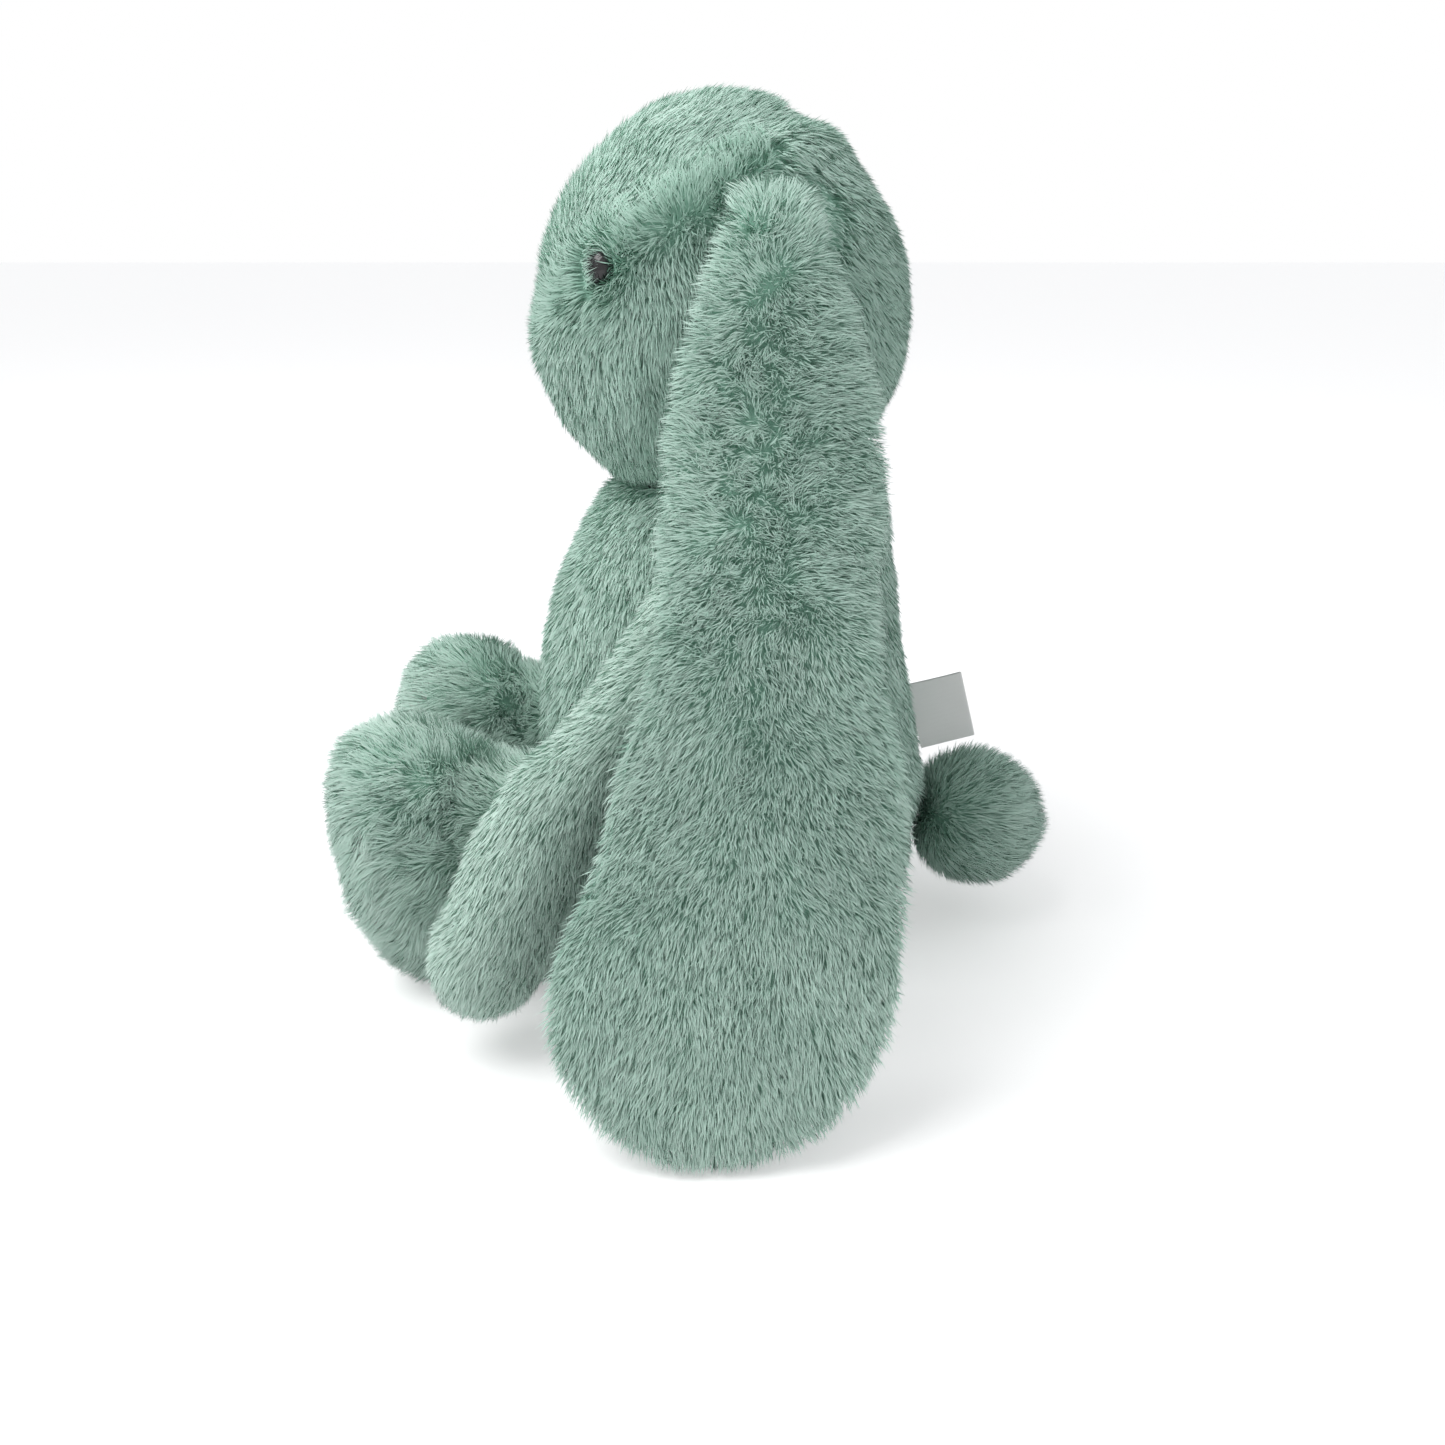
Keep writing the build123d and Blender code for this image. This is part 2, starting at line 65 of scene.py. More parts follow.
# %% Camera
spine = 5.5 * MM  # the middle of the head and body, front to back
stand = Vector((470 * MM, spine, 243 * MM))  # where the camera is
target = Vector((0, spine, 72 * MM))  # what it looks at
bpy.ops.object.camera_add(location=stand, rotation=(target - stand).to_track_quat("-Z", "Y").to_euler())
camera = bpy.context.object
camera.name = "camera"
camera.data.sensor_width = 36
camera.data.lens = 35.6
camera.data.clip_start = 10 * MM
bpy.context.scene.camera = camera
print("camera", round((target - stand).length, 3), "m away")

# %% [markdown]
# ## Light
# Product pictures of plush are lit by large soft sources, so the shadows between the tufts are soft and the
# green stays clean. The sky gives most of the light. One large lamp high in front of the toy gives the pile
# its direction, and leaves the back and the tail a little darker.

# %% World
bpy.context.scene.view_settings.view_transform = "Standard"
world = bpy.data.worlds.new("studio")
bpy.context.scene.world = world
world.use_nodes = True
sky = world.node_tree
sky.nodes.clear()


def sky_node(kind, **sockets):
    made = sky.nodes.new("ShaderNode" + kind)
    for name, value in sockets.items():
        made.inputs[name].default_value = value
    return made


rays = sky_node("LightPath")
seen = sky_node("Background", Color=(1, 1, 1, 1), Strength=1.0)
lit = sky_node("Background", Color=(0.97, 0.98, 1, 1), Strength=0.58)
seen_directly = sky_node("Math")
seen_directly.operation = "MAXIMUM"
either = sky_node("MixShader")
out = sky_node("OutputWorld")
sky.links.new(rays.outputs["Is Camera Ray"], seen_directly.inputs[0])
sky.links.new(rays.outputs["Is Glossy Ray"], seen_directly.inputs[1])
sky.links.new(seen_directly.outputs[0], either.inputs["Fac"])
sky.links.new(lit.outputs["Background"], either.inputs[1])
sky.links.new(seen.outputs["Background"], either.inputs[2])
sky.links.new(either.outputs["Shader"], out.inputs["Surface"])
print("world has", len(sky.nodes), "nodes")


# %% Lamps
TOY_MIDDLE = 130 * MM  # height of the toy's middle


def soft_lamp(name, place, size, watts):
    """A square area lamp that faces the middle of the toy."""
    place = Vector(place)
    aim = (Vector((0, 0, TOY_MIDDLE)) - place).to_track_quat("-Z", "Y").to_euler()
    bpy.ops.object.light_add(type="AREA", location=place, rotation=aim)
    lamp = bpy.context.object
    lamp.name = name
    lamp.data.size = size
    lamp.data.energy = watts
    return lamp


key = soft_lamp("key_lamp", (0.35, -0.65, 1.25), 0.9, 12)
print("lamp", key.name)


# %% [markdown]
# ## Writing materials
# A material is a graph of nodes. Two small helpers keep it readable: arithmetic on a socket adds the Math
# nodes by itself, and one method adds any other node. What every material needs has a method of its own.

# %% Helpers for materials
class Number:
    """A socket that can be added to, multiplied and so on. Each sum is a Math node."""

    def __init__(self, finish, socket):
        self.finish, self.socket = finish, socket

    def sum(self, operation, *others):
        math_node = self.finish.tree.nodes.new("ShaderNodeMath")
        math_node.operation = operation
        for slot, value in zip(math_node.inputs, others):
            self.finish.feed(slot, value)
        return Number(self.finish, math_node.outputs[0])

    def __add__(self, other):
        return self.sum("ADD", self, other)

    __radd__ = __add__

    def __mul__(self, other):
        return self.sum("MULTIPLY", self, other)

    __rmul__ = __mul__

    def __sub__(self, other):
        return self.sum("SUBTRACT", self, other)

    def __rsub__(self, other):
        return self.sum("SUBTRACT", other, self)

    def clamped(self, low=0.0, high=1.0):
        return self.sum("MINIMUM", self.sum("MAXIMUM", self, low), high)

    def sine(self):
        return self.sum("SINE", self)


class Finish:
    """A material with one Principled shader, whose fixed settings are given by socket name."""

    def __init__(self, name, **fixed):
        self.material = bpy.data.materials.new(name)
        self.material.use_nodes = True
        self.tree = self.material.node_tree
        self.shader = self.tree.nodes["Principled BSDF"]
        for socket, value in fixed.items():
            self.shader.inputs[socket.replace("_", " ")].default_value = value

    def feed(self, socket, value):
        if isinstance(value, Number):
            self.tree.links.new(value.socket, socket)
        else:
            socket.default_value = value

    def node(self, kind, settings=None, **sockets):
        """Adds a node, its settings first, and gives its first output. _ in a socket's name is a space."""
        made = self.tree.nodes.new("ShaderNode" + kind)
        for name, value in (settings or {}).items():
            if name == "stops":
                ramp = made.color_ramp
                while len(ramp.elements) < len(value):
                    ramp.elements.new(0.5)
                for element, (place, colour) in zip(ramp.elements, value):
                    element.position, element.color = place, (*colour, 1)
            else:
                setattr(made, name, value)
        for name, value in sockets.items():
            wanted = name.replace("_", " ")
            slot = [s for s in made.inputs if s.name == wanted and s.enabled][0]
            self.feed(slot, value)
        return Number(self, [s for s in made.outputs if s.enabled][0])

    def output(self, number, name):
        """Another output of the node that a number comes from."""
        return Number(self, number.socket.node.outputs[name])

    def here(self):
        """The place on the object, over which a pattern is laid."""
        return self.output(self.node("TexCoord"), "Object")

    def ramp(self, number, *stops):
        """A colour that a number picks between these stops."""
        return self.node("ValToRGB", {"stops": stops}, Fac=number)

    def bump(self, height, strength, distance):
        return self.node("Bump", Strength=strength, Distance=distance, Height=height)

    def wear(self, **sockets):
        for name, value in sockets.items():
            self.feed(self.shader.inputs[name.replace("_", " ")], value)
        return self.material


print("helpers ready")


# %% [markdown]
# ## The plush
# Each fibre is painted dark at its root, as the shade where little light reaches it, and pale at its tip. The
# fibres carry that in their own texture map: across the map runs the tone of the tuft, painted light and shade
# included, and up its lowest quarter runs the way from root to tip. The rest of the map belongs to the knitted
# backing, which is painted a deep green, darker than the roots, as the shade that lies between the fibres.

# %% Plush material
FIBRE_BAND = 0.25  # the lowest part of the map, root to tip
plush = Finish("mint_plush", Roughness=0.7, Specular_IOR_Level=0.15, Sheen_Weight=0.15, Sheen_Roughness=0.5)
across = plush.node("SeparateXYZ", Vector=plush.node("UVMap", {"uv_map": "OFBake"}))
up = plush.output(across, "Y")
along_fibre = (up * (1 / FIBRE_BAND)).clamped()
fibre = plush.ramp(
    along_fibre, (0.0, (0.34, 0.58, 0.465)), (0.35, (0.49, 0.73, 0.615)), (1.0, (0.66, 0.84, 0.75))
)
# Painted light and shade: low tones darken the fibre and make it greener, as in shade, and high tones make it
# paler and greyer, as in light. The same ramp carries the tone that differs at random.
tone_and_shade = plush.ramp(across, (0.0, (0.64, 0.77, 0.71)), (0.5, (0.96, 0.985, 0.98)), (1.0, (1.13, 1.07, 1.09)))
toned = plush.node("Mix", {"data_type": "RGBA", "blend_type": "MULTIPLY"}, Factor=1.0, A=fibre, B=tone_and_shade)
knit = plush.node("TexNoise", Vector=plush.here(), Scale=900.0)
# Painted shade: the backing is darker than the roots of the fibres, so the gaps between them read as shadow.
backing_shade = plush.ramp(knit, (0.3, (0.27, 0.5, 0.39)), (0.7, (0.33, 0.57, 0.455)))
is_backing = plush.node("Math", {"operation": "GREATER_THAN"}, Value=up)
is_backing.socket.node.inputs[1].default_value = FIBRE_BAND * 1.1  # between the fibres and the backing
plush_colour = plush.node("Mix", {"data_type": "RGBA"}, Factor=is_backing, A=toned, B=backing_shade)
plush_material = plush.wear(Base_Color=plush_colour)
print("plush", len(plush.tree.nodes), "nodes")


# %% [markdown]
# ## From cut panels to a stuffed form
# The solids of the frame are the covers of each body part, still sharp along their seams. A stuffed form
# starts as a copy of them: the copy is joined, given even faces, and sunk below the tips of the fur, because
# the pile grows outwards from there.

# %% Helpers that choose and copy
def only(*objects):
    """Selects these objects and nothing else."""
    bpy.ops.object.select_all(action="DESELECT")
    for thing in objects:
        thing.select_set(True)
    bpy.context.view_layer.objects.active = objects[0]


def edited(form, operator, **settings):
    """Runs an operator of edit mode on the whole of a form."""
    only(form)
    bpy.ops.object.mode_set(mode="EDIT")
    bpy.ops.mesh.select_all(action="SELECT")
    operator(**settings)
    bpy.ops.object.mode_set(mode="OBJECT")


def apply_modifier(form, kind, **settings):
    only(form)
    modifier = form.modifiers.new(kind.lower(), kind)
    for name, value in settings.items():
        setattr(modifier, name, value)
    bpy.ops.object.modifier_apply(modifier=modifier.name)


def copied(names, new_name):
    """One new object made of copies of these solids."""
    only(*[nodes[name] for name in names])
    bpy.ops.object.duplicate()
    if len(names) > 1:
        bpy.ops.object.join()
    form = bpy.context.object
    form.name = new_name
    form.parent = None
    for key_name in list(form.keys()):
        del form[key_name]
    form.data.materials.clear()
    return form


def give_material(piece, material):
    piece.data.materials.clear()
    piece.data.materials.append(material)


def outer_shell(form):
    """Keeps only the largest of a form's loose shells."""
    name = form.name
    edited(form, bpy.ops.mesh.separate, type="LOOSE")
    shells = sorted(bpy.context.selected_objects, key=lambda o: Vector(o.dimensions).length)
    largest = shells.pop()
    for shell in shells:
        bpy.data.objects.remove(shell)
    largest.name = name
    return largest


def places(form):
    """The places of a form's vertices, as an array."""
    co = np.empty(len(form.data.vertices) * 3)
    form.data.vertices.foreach_get("co", co)
    return co.reshape(-1, 3)


def set_places(form, co):
    form.data.vertices.foreach_set("co", co.ravel())
    form.data.update()


def outward(form):
    """The directions in which a form's vertices face."""
    facing = np.empty(len(form.data.vertices) * 3)
    form.data.vertex_normals.foreach_get("vector", facing)
    return facing.reshape(-1, 3)


THINNEST = 0.36  # the share of a form's thickness that its surface may sink


def sink(form, depth):
    """Moves the surface inwards by this depth, or by less where the form is thin."""
    co, facing = places(form), outward(form)
    only(form)
    surface = BVHTree.FromObject(form, bpy.context.evaluated_depsgraph_get())
    for n, (place, way) in enumerate(zip(co, facing)):
        inwards = -Vector(way)
        hit = surface.ray_cast(Vector(place) + inwards * 0.05 * MM, inwards)
        thickness = hit[3] if hit[3] is not None else depth * 4
        co[n] = place + np.array(inwards) * min(depth, thickness * THINNEST)
    set_places(form, co)


def stuffed_form(name, covers, voxel, depth, smoothing):
    form = copied(covers, name)
    apply_modifier(form, "REMESH", mode="VOXEL", voxel_size=voxel)
    form = outer_shell(form)
    apply_modifier(form, "SMOOTH", factor=0.5, iterations=smoothing)
    sink(form, depth)
    apply_modifier(form, "SMOOTH", factor=0.5, iterations=smoothing)
    print(name, len(form.data.vertices), "vertices")
    return form


# %% [markdown]
# ## The stuffed forms
# Each starts a little smaller than its cover, because the stuffing will blow it up again. The left limbs are
# made and later mirrored, because the toy's two sides are cut from the same patterns.

# %% Forms
TORSO = ["belly_panel", "back_panel_left", "back_panel_right"]
HEAD = ["forehead_gusset", "face_left", "face_right", "nape_left", "nape_right"]
EAR = ["ear_left_outer", "ear_left_inner"]
ARM = ["arm_left_outer", "arm_left_inner"]
LEG = ["leg_left_outer", "leg_left_inner", "leg_left_sole"]
STUFFING = {  # the covers, the size of a face, how deep the backing lies, smoothing, how far it may swell
    "torso": (TORSO, 4.5 * MM, 5.4 * MM, 3, 2.6 * MM),
    "head": (HEAD, 4.0 * MM, 5.4 * MM, 3, 1.6 * MM),
    "tail": (["tail_cover"], 3.0 * MM, 5.6 * MM, 2, 1.0 * MM),
    "ear_left": (EAR, 3.6 * MM, 2.7 * MM, 2, 1.0 * MM),
    "arm_left": (ARM, 3.6 * MM, 5.0 * MM, 3, 1.8 * MM),
    "leg_left": (LEG, 4.0 * MM, 5.6 * MM, 3, 2.2 * MM),
}
forms = {name: stuffed_form(name, *made[:4]) for name, made in STUFFING.items()}

# %% [markdown]
# ## Modelling the head
# A stuffed head is no ball: the thread of the eyes pulls a dimple into each side, and the cheeks hang full
# over the neck. Both are soft pushes, strongest in one direction from the head's middle.

# %% Dimples and cheeks
def box_of(names):
    """The lowest and highest corner around several solids."""
    corners = [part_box(name) for name in names]
    low = np.array([min(c[0][k] for c in corners) for k in range(3)])
    return low, np.array([max(c[1][k] for c in corners) for k in range(3)])


def middle_of(name):
    low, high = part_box(name)
    return (np.array(low) + np.array(high)) / 2


def reach_along(name, line):
    """How far a solid reaches from the head's middle along a line."""
    solid = nodes[name]
    corners = np.array([solid.matrix_world @ vertex.co for vertex in solid.data.vertices])
    return ((corners - head_middle) @ line).max()


nape_low, nape_high = box_of(["nape_left", "nape_right"])
head_radius = nape_high[0]
head_middle = np.array([0, spine, nape_high[2] - head_radius])
EYE_DOME = 4.5 * MM  # how high an eye stands over the cloth
eye_lines = [middle_of(name) - head_middle for name in ("eye_left", "eye_right")]
eye_lines = [line / np.linalg.norm(line) for line in eye_lines]
eye_tops = [reach_along(name, line) for name, line in zip(("eye_left", "eye_right"), eye_lines)]
eyes = [head_middle + line * (top - EYE_DOME) for line, top in zip(eye_lines, eye_tops)]


def push(form, direction, spread, distance):
    """Moves the surface out by millimetres around one direction from the head's middle, within this angle."""
    co = places(form)
    ways = co - head_middle
    ways /= np.linalg.norm(ways, axis=1)[:, None]
    direction = np.array(direction) / np.linalg.norm(direction)
    angle = np.degrees(np.arccos(np.clip(ways @ direction, -1, 1)))
    co += ways * (distance * MM * np.exp(-((angle / spread) ** 2)))[:, None]
    set_places(form, co)


def below_seam(p):
    """How far points of the head are below the seam from nose to eye to ear, and the way up across it."""
    at_nose, over_eye, at_ear = [np.array(v) * MM for v in ((6, -60, -3.5), (45, -34, 19.5), (42, 11, 43.5))]
    square = np.cross(over_eye - at_nose, at_ear - at_nose)
    square /= np.linalg.norm(square)
    q = p - head_middle
    q[:, 0] = np.abs(q[:, 0])
    return -(q - at_nose) @ square, square


def ridge(form, height, spread):
    """Raises the cheek along the seam over the eye and lowers the forehead beside it."""
    co = places(form)
    ways = co - head_middle
    far = np.linalg.norm(ways, axis=1)
    down, _ = below_seam(co)
    beside = np.exp(-((np.abs(np.abs(down) - spread) / spread) ** 2)) * np.where(down > 0, 1, -0.7)
    fades_in = np.clip((co[:, 1] - head_middle[1] + 42 * MM) / (12 * MM), 0, 1)  # behind the nose
    co += ways / far[:, None] * (height * beside * fades_in)[:, None]
    set_places(form, co)


HEAD_PUSHES = [  # the way from the head's middle, how many degrees wide, how many millimetres
    ((0.5, -0.45, -0.75), 26, 6.5),  # left cheek
    ((0.35, -0.93, -0.15), 18, 1.0),  # left of the nose
    ((-0.5, -0.45, -0.75), 26, 6.5),  # right cheek
    ((-0.35, -0.93, -0.15), 18, 1.0),  # right of the nose
    ((0, -0.66, -0.75), 26, 3.5),  # chin
    ((0, -0.45, -0.9), 18, 2.5),  # throat
    ((0, -0.9, -0.42), 16, -3.0),  # under the nose
    ((0, -0.8, 0.6), 24, -2.6),  # forehead
    ((0, -1, 0.08), 16, -2.4),  # nose
    ((0, 0.8, -0.6), 26, 4.5),  # nape
    ((0, 0.75, 0.66), 26, -3.2),  # back of the crown
]
for settings in HEAD_PUSHES:
    push(forms["head"], *settings)
ridge(forms["head"], 1.8 * MM, 6 * MM)
for eye in eyes:
    push(forms["head"], eye - head_middle + (0, -8 * MM, 0), 8, -1.5)  # in front of the eye
    push(forms["head"], eye - head_middle + (0, 9 * MM, 0), 8, 1.2)  # behind it
print("head", head_middle.round(4), head_radius.round(4), "eyes", [e.round(4).tolist() for e in eyes])

# %% [markdown]
# ## Shaping the body and limbs
# Filling settles where a toy is held and sat on. The heels are drawn in, and the forearms, the chest and the
# back are a little fuller than their panels.

# %% Heels
def draw(form, middle, spread, move):
    """Moves the surface around a place by millimetres, less and less as they get further than the spread."""
    co = places(form)
    near = np.exp(-((np.linalg.norm(co - middle, axis=1) / (spread * MM)) ** 2))
    set_places(form, co + near[:, None] * (np.array(move) * MM))


leg_low, leg_high = box_of(LEG)
leg_side = (leg_low[0] + leg_high[0]) / 2
heel = np.array([leg_side, leg_low[1], 12 * MM])
toes = np.array([leg_side, leg_low[1], 70 * MM])
draw(forms["leg_left"], heel, 31, (0, 9.5, 0))
draw(forms["leg_left"], toes, 24, (0, -2.5, 0))
print("heel", heel.round(4))

# %% Forearm
arm_low, arm_high = box_of(ARM)
forearm = arm_low + (arm_high - arm_low) * (0.6, 0.42, 0.42)
draw(forms["arm_left"], forearm + (0, -12 * MM, 8 * MM), 28, (0, -7, 3))
draw(forms["arm_left"], forearm + (0, 12 * MM, -8 * MM), 26, (0, 3, -1.5))
print("forearm", forearm.round(4))

# %% Chest and back
torso_low, torso_high = box_of(TORSO)
draw(forms["torso"], (0, spine - 34 * MM, 142 * MM), 30, (0, -2.0, 0))
draw(forms["torso"], (0, torso_low[1], 100 * MM), 34, (0, -3.5, 0))
draw(forms["torso"], (0, spine + 38 * MM, 148 * MM), 30, (0, 4.5, 0))
draw(forms["torso"], (0, torso_high[1], 48 * MM), 34, (0, 5.0, 0))
print("torso from", torso_low.round(4), "to", torso_high.round(4))

# %% [markdown]
# The ears are gathered where they are sewn on. Below that, they open out sooner than their panels. The end
# of each reaches in to the head, and the head out to it, so that the seam stays shut when the ear is lifted.

# %% Ears
ear_low, ear_high = box_of(EAR)
co = places(forms["ear_left"])
share = (co[:, 2] - ear_low[2]) / (ear_high[2] - ear_low[2])
opens = np.interp(share, [0.6, 0.7, 0.8, 0.88, 0.95, 1.0], [1, 1.07, 1.2, 1.32, 1.4, 1.25])
middle_line = np.interp(share, [0.6, 0.85, 1.0], [spine + 13 * MM, spine + 12.5 * MM, spine + 13.5 * MM])
co[:, 1] = middle_line + (co[:, 1] - middle_line) * opens
set_places(forms["ear_left"], co)
draw(forms["ear_left"], (ear_high[0], ear_low[1], 70 * MM), 45, (0, -2.5, 0))
draw(forms["ear_left"], (ear_high[0], ear_low[1], 98 * MM), 30, (0, -2.5, 0))
ear_points = places(forms["ear_left"])
ear_root = ear_points[ear_points[:, 0].argmin()]
to_head = (head_middle - ear_root) / np.linalg.norm(head_middle - ear_root)
draw(forms["ear_left"], ear_root, 10, to_head * 4)
for side in (1, -1):
    push(forms["head"], -to_head * (side, 1, 1), 10, 1.5)
print("ears from", ear_low.round(4), "to", ear_high.round(4))

# %% [markdown]
# ## Stuffing
# Pressure from inside is what shapes a sewn toy. The panels swell between the seams, and the seams hold. The
# cloth simulation does the same: the seams are pinned, gravity is off, and air pressure blows the panels out.
# No point may move further than its cap, so the toy keeps its size.

# %% Whose panel is it
def nearest_panel(form, covers):
    """For each face of a form, the number of the cover whose solid is nearest."""
    graph = bpy.context.evaluated_depsgraph_get()
    trees = [BVHTree.FromObject(nodes[name], graph) for name in covers]
    found = []
    for face in form.data.polygons:
        lifted = face.center + face.normal * 3 * MM
        found.append(min(range(len(trees)), key=lambda k: trees[k].find_nearest(lifted)[3]))
    return np.array(found)


def seam_points(form, covers):
    """The numbers of the vertices that lie between two panels."""
    owner = nearest_panel(form, covers)
    met = {}
    for face, who in zip(form.data.polygons, owner):
        for vertex in face.vertices:
            met.setdefault(vertex, set()).add(who)
    return [vertex for vertex, panels in met.items() if len(panels) > 1]


# %% Blow the forms up
EYE_HOLD = 10 * MM  # the thread of an eye holds the cloth this far around it
FRAMES = 20


def swell(form, covers, cap):
    """Blows a form up between its seams, by no more than its cap."""
    start = places(form)
    seams = seam_points(form, covers)
    for eye in eyes:
        seams += np.flatnonzero(np.linalg.norm(start - eye, axis=1) < EYE_HOLD).tolist()
    held = form.vertex_groups.new(name="seams")
    held.add(seams, 1.0, "REPLACE")
    cloth = form.modifiers.new("stuffing", "CLOTH")
    cloth.settings.use_pressure = True
    cloth.settings.uniform_pressure_force = 4
    cloth.settings.effector_weights.gravity = 0
    if seams:
        cloth.settings.vertex_group_mass = "seams"
    for number in range(1, FRAMES + 1):
        bpy.context.scene.frame_set(number)
    only(form)
    bpy.ops.object.modifier_apply(modifier="stuffing")
    bpy.context.scene.frame_set(1)
    form.vertex_groups.remove(form.vertex_groups["seams"])
    moved = places(form) - start
    far = np.linalg.norm(moved, axis=1)
    set_places(form, start + moved * np.minimum(1, cap / np.maximum(far, 1e-9))[:, None])
    apply_modifier(form, "SMOOTH", factor=0.5, iterations=2)
    print(form.name, len(seams), "seam points, swelled by up to", round(far.max() / MM, 1), "mm")


for name, (covers, _, _, _, cap) in STUFFING.items():
    swell(forms[name], covers, cap)
    apply_modifier(forms[name], "SUBSURF", levels=1, render_levels=1)

# %% [markdown]
# Mirroring turns the faces inside out, so they are flipped back.

# %% Mirror the left limbs
for name in ("ear", "arm", "leg"):
    only(forms[name + "_left"])
    bpy.ops.object.duplicate()
    other = bpy.context.object
    other.name = name + "_right"
    co = places(other)
    co[:, 0] *= -1
    set_places(other, co)
    edited(other, bpy.ops.mesh.flip_normals)
    forms[name + "_right"] = other
print(sorted(forms))

# %% [markdown]
# The far foot has settled a little differently: its toes are drawn back and its instep is fuller.

# %% Far foot
far_toes = np.array([-leg_side, leg_low[1], 82 * MM])
instep = far_toes + (0, 48 * MM, 10 * MM)
draw(forms["leg_right"], far_toes, 26, (0, 7, 0))
draw(forms["leg_right"], instep, 22, (0, 0, 10))
print("far toes", far_toes.round(4), "instep", instep.round(4))

# %% [markdown]
# ## Room for the fur
# Where two parts touch, or where the toy sits on the floor, the pile is pressed flat. So each point of a
# form is told how much room it has: half the way to the next form, and all the way to the floor.

# %% Room
FREE = 12 * MM  # more room than this makes no difference
PRESSED = 4 * MM  # less room than this presses the pile down


def give_room():
    """Stores on each point of each form how much room its fibre has."""
    graph = bpy.context.evaluated_depsgraph_get()
    trees = {name: BVHTree.FromObject(form, graph) for name, form in forms.items()}
    for name, form in forms.items():
        co, facing = places(form), outward(form)
        room = np.full(len(co), FREE)
        downwards = facing[:, 2] < -0.05
        room[downwards] = np.minimum(FREE, co[downwards, 2] / -facing[downwards, 2])
        for other, tree in trees.items():
            if other == name:
                continue
            for n, (place, way) in enumerate(zip(co, facing)):
                near, normal, _, far = tree.find_nearest(place, 2 * FREE)
                if near is None:
                    continue
                if (Vector(place) - near).dot(normal) < 0:
                    room[n] = 0
                    continue
                hit = tree.ray_cast(place, way, 2 * FREE)[3]
                if hit is not None:
                    room[n] = min(room[n], hit / 2)
        form.data.attributes.new("room", "FLOAT", "POINT").data.foreach_set("value", room.astype(np.float32))
        print(name, "pressed at", int((room < PRESSED).sum()), "of", len(room), "points")


give_room()

# %% [markdown]
# ## Fur
# Hair systems don't survive an export, so each fibre is real: a thin tapered blade of two triangles that
# leans over, wider than one true fibre and standing for a few. They are worked out all at once as arrays,
# because there are hundreds of thousands. Three things make it look like plush and not like grass: the
# fibres follow a slowly changing flow, neighbours gather into small tufts, and no two have quite the same
# length.

# %% Smooth noise
def noise(points, size, seed):
    """Three smooth random values from -1 to 1 for each point, that change over this size."""
    table = np.random.default_rng(seed).uniform(-1, 1, (32, 32, 32, 3))
    scaled = points / size
    cell = np.floor(scaled).astype(int)
    part = scaled - cell
    part = part * part * (3 - 2 * part)
    total = np.zeros((len(points), 3))
    for corner in range(8):
        step = np.array([(corner >> axis) & 1 for axis in range(3)])
        weight = np.prod(np.where(step, part, 1 - part), axis=1)
        index = (cell + step) & 31
        total += weight[:, None] * table[index[:, 0], index[:, 1], index[:, 2]]
    return total


def unit(vectors):
    return vectors / np.maximum(np.linalg.norm(vectors, axis=1), 1e-9)[:, None]


print("noise reaches", noise(np.random.default_rng(1).uniform(0, 1, (1000, 3)), 0.1, 2).max().round(2))


# %% Where the fibres stand
def scattered(skin, per_mm2, rng):
    """Points spread evenly over a skin, the way it faces at each, and the room it has there."""
    mesh = skin.data
    mesh.calc_loop_triangles()
    corners = np.empty(len(mesh.loop_triangles) * 3, np.int32)
    mesh.loop_triangles.foreach_get("vertices", corners)
    corners = corners.reshape(-1, 3)
    co, facing = places(skin), outward(skin)
    room = np.empty(len(co), np.float32)
    mesh.attributes["room"].data.foreach_get("value", room)
    a, b, c = (co[corners[:, k]] for k in range(3))
    area = np.linalg.norm(np.cross(b - a, c - a), axis=1) / 2
    count = int(area.sum() / MM**2 * per_mm2)
    pick = rng.choice(len(area), count, p=area / area.sum())
    first, second = np.sqrt(rng.random(count)), rng.random(count)
    share = np.stack([1 - first, first * (1 - second), first * second])
    roots = sum(share[k][:, None] * co[corners[pick, k]] for k in range(3))
    ways = sum(share[k][:, None] * facing[corners[pick, k]] for k in range(3))
    return roots, unit(ways), sum(share[k] * room[corners[pick, k]] for k in range(3))


# %% [markdown]
# The eyes sit deep in the fur, and it mustn't run through them. What would is lifted onto their domes, and
# the fibres just in front of an eye fold back over it as a small lid. None grow under the nose's stitches.

# %% Fur around the eyes and the nose
EYE_ROUND = 5.2 * MM
nose_low, nose_high = (np.array(corner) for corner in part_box("nose"))
nose_middle, nose_size = (nose_low + nose_high) / 2, nose_high - nose_low
muzzle = places(forms["head"])
from_nose = (muzzle - nose_middle)[:, [0, 2]]
nose_seat = muzzle[np.linalg.norm(from_nose, axis=1) < 6 * MM, 1].min()
print("nose sits at", nose_seat.round(4))


def behind_nose(points):
    """Which points the stitches of the nose cover."""
    share = (points - nose_middle)[:, [0, 2]] / (nose_size[[0, 2]] * 0.55)
    return (np.linalg.norm(share, axis=1) < 1) & (points[:, 1] < nose_seat + 5 * MM)


def over_the_eyes(points, clearance):
    """Lifts points that are this near to the dome of an eye away from it. Also tells which ones were."""
    inside = np.zeros(len(points), bool)
    for eye, line in zip(eyes, eye_lines):
        off = points - eye
        high = off @ line
        aside = off - high[:, None] * line
        out = np.linalg.norm(aside, axis=1) / (EYE_ROUND + clearance)
        share = np.sqrt(out**2 + (high / (EYE_DOME + clearance)) ** 2)
        within = share < 1
        stretch = np.where(within, 1 / np.maximum(share, 0.2), 1)[:, None]
        points = eye + off * stretch
        inside |= within
    return points, inside


LID_REACH = 9 * MM  # fibres no further than this from an eye fold over it
LID_SHARE = 0.8  # that many of them do


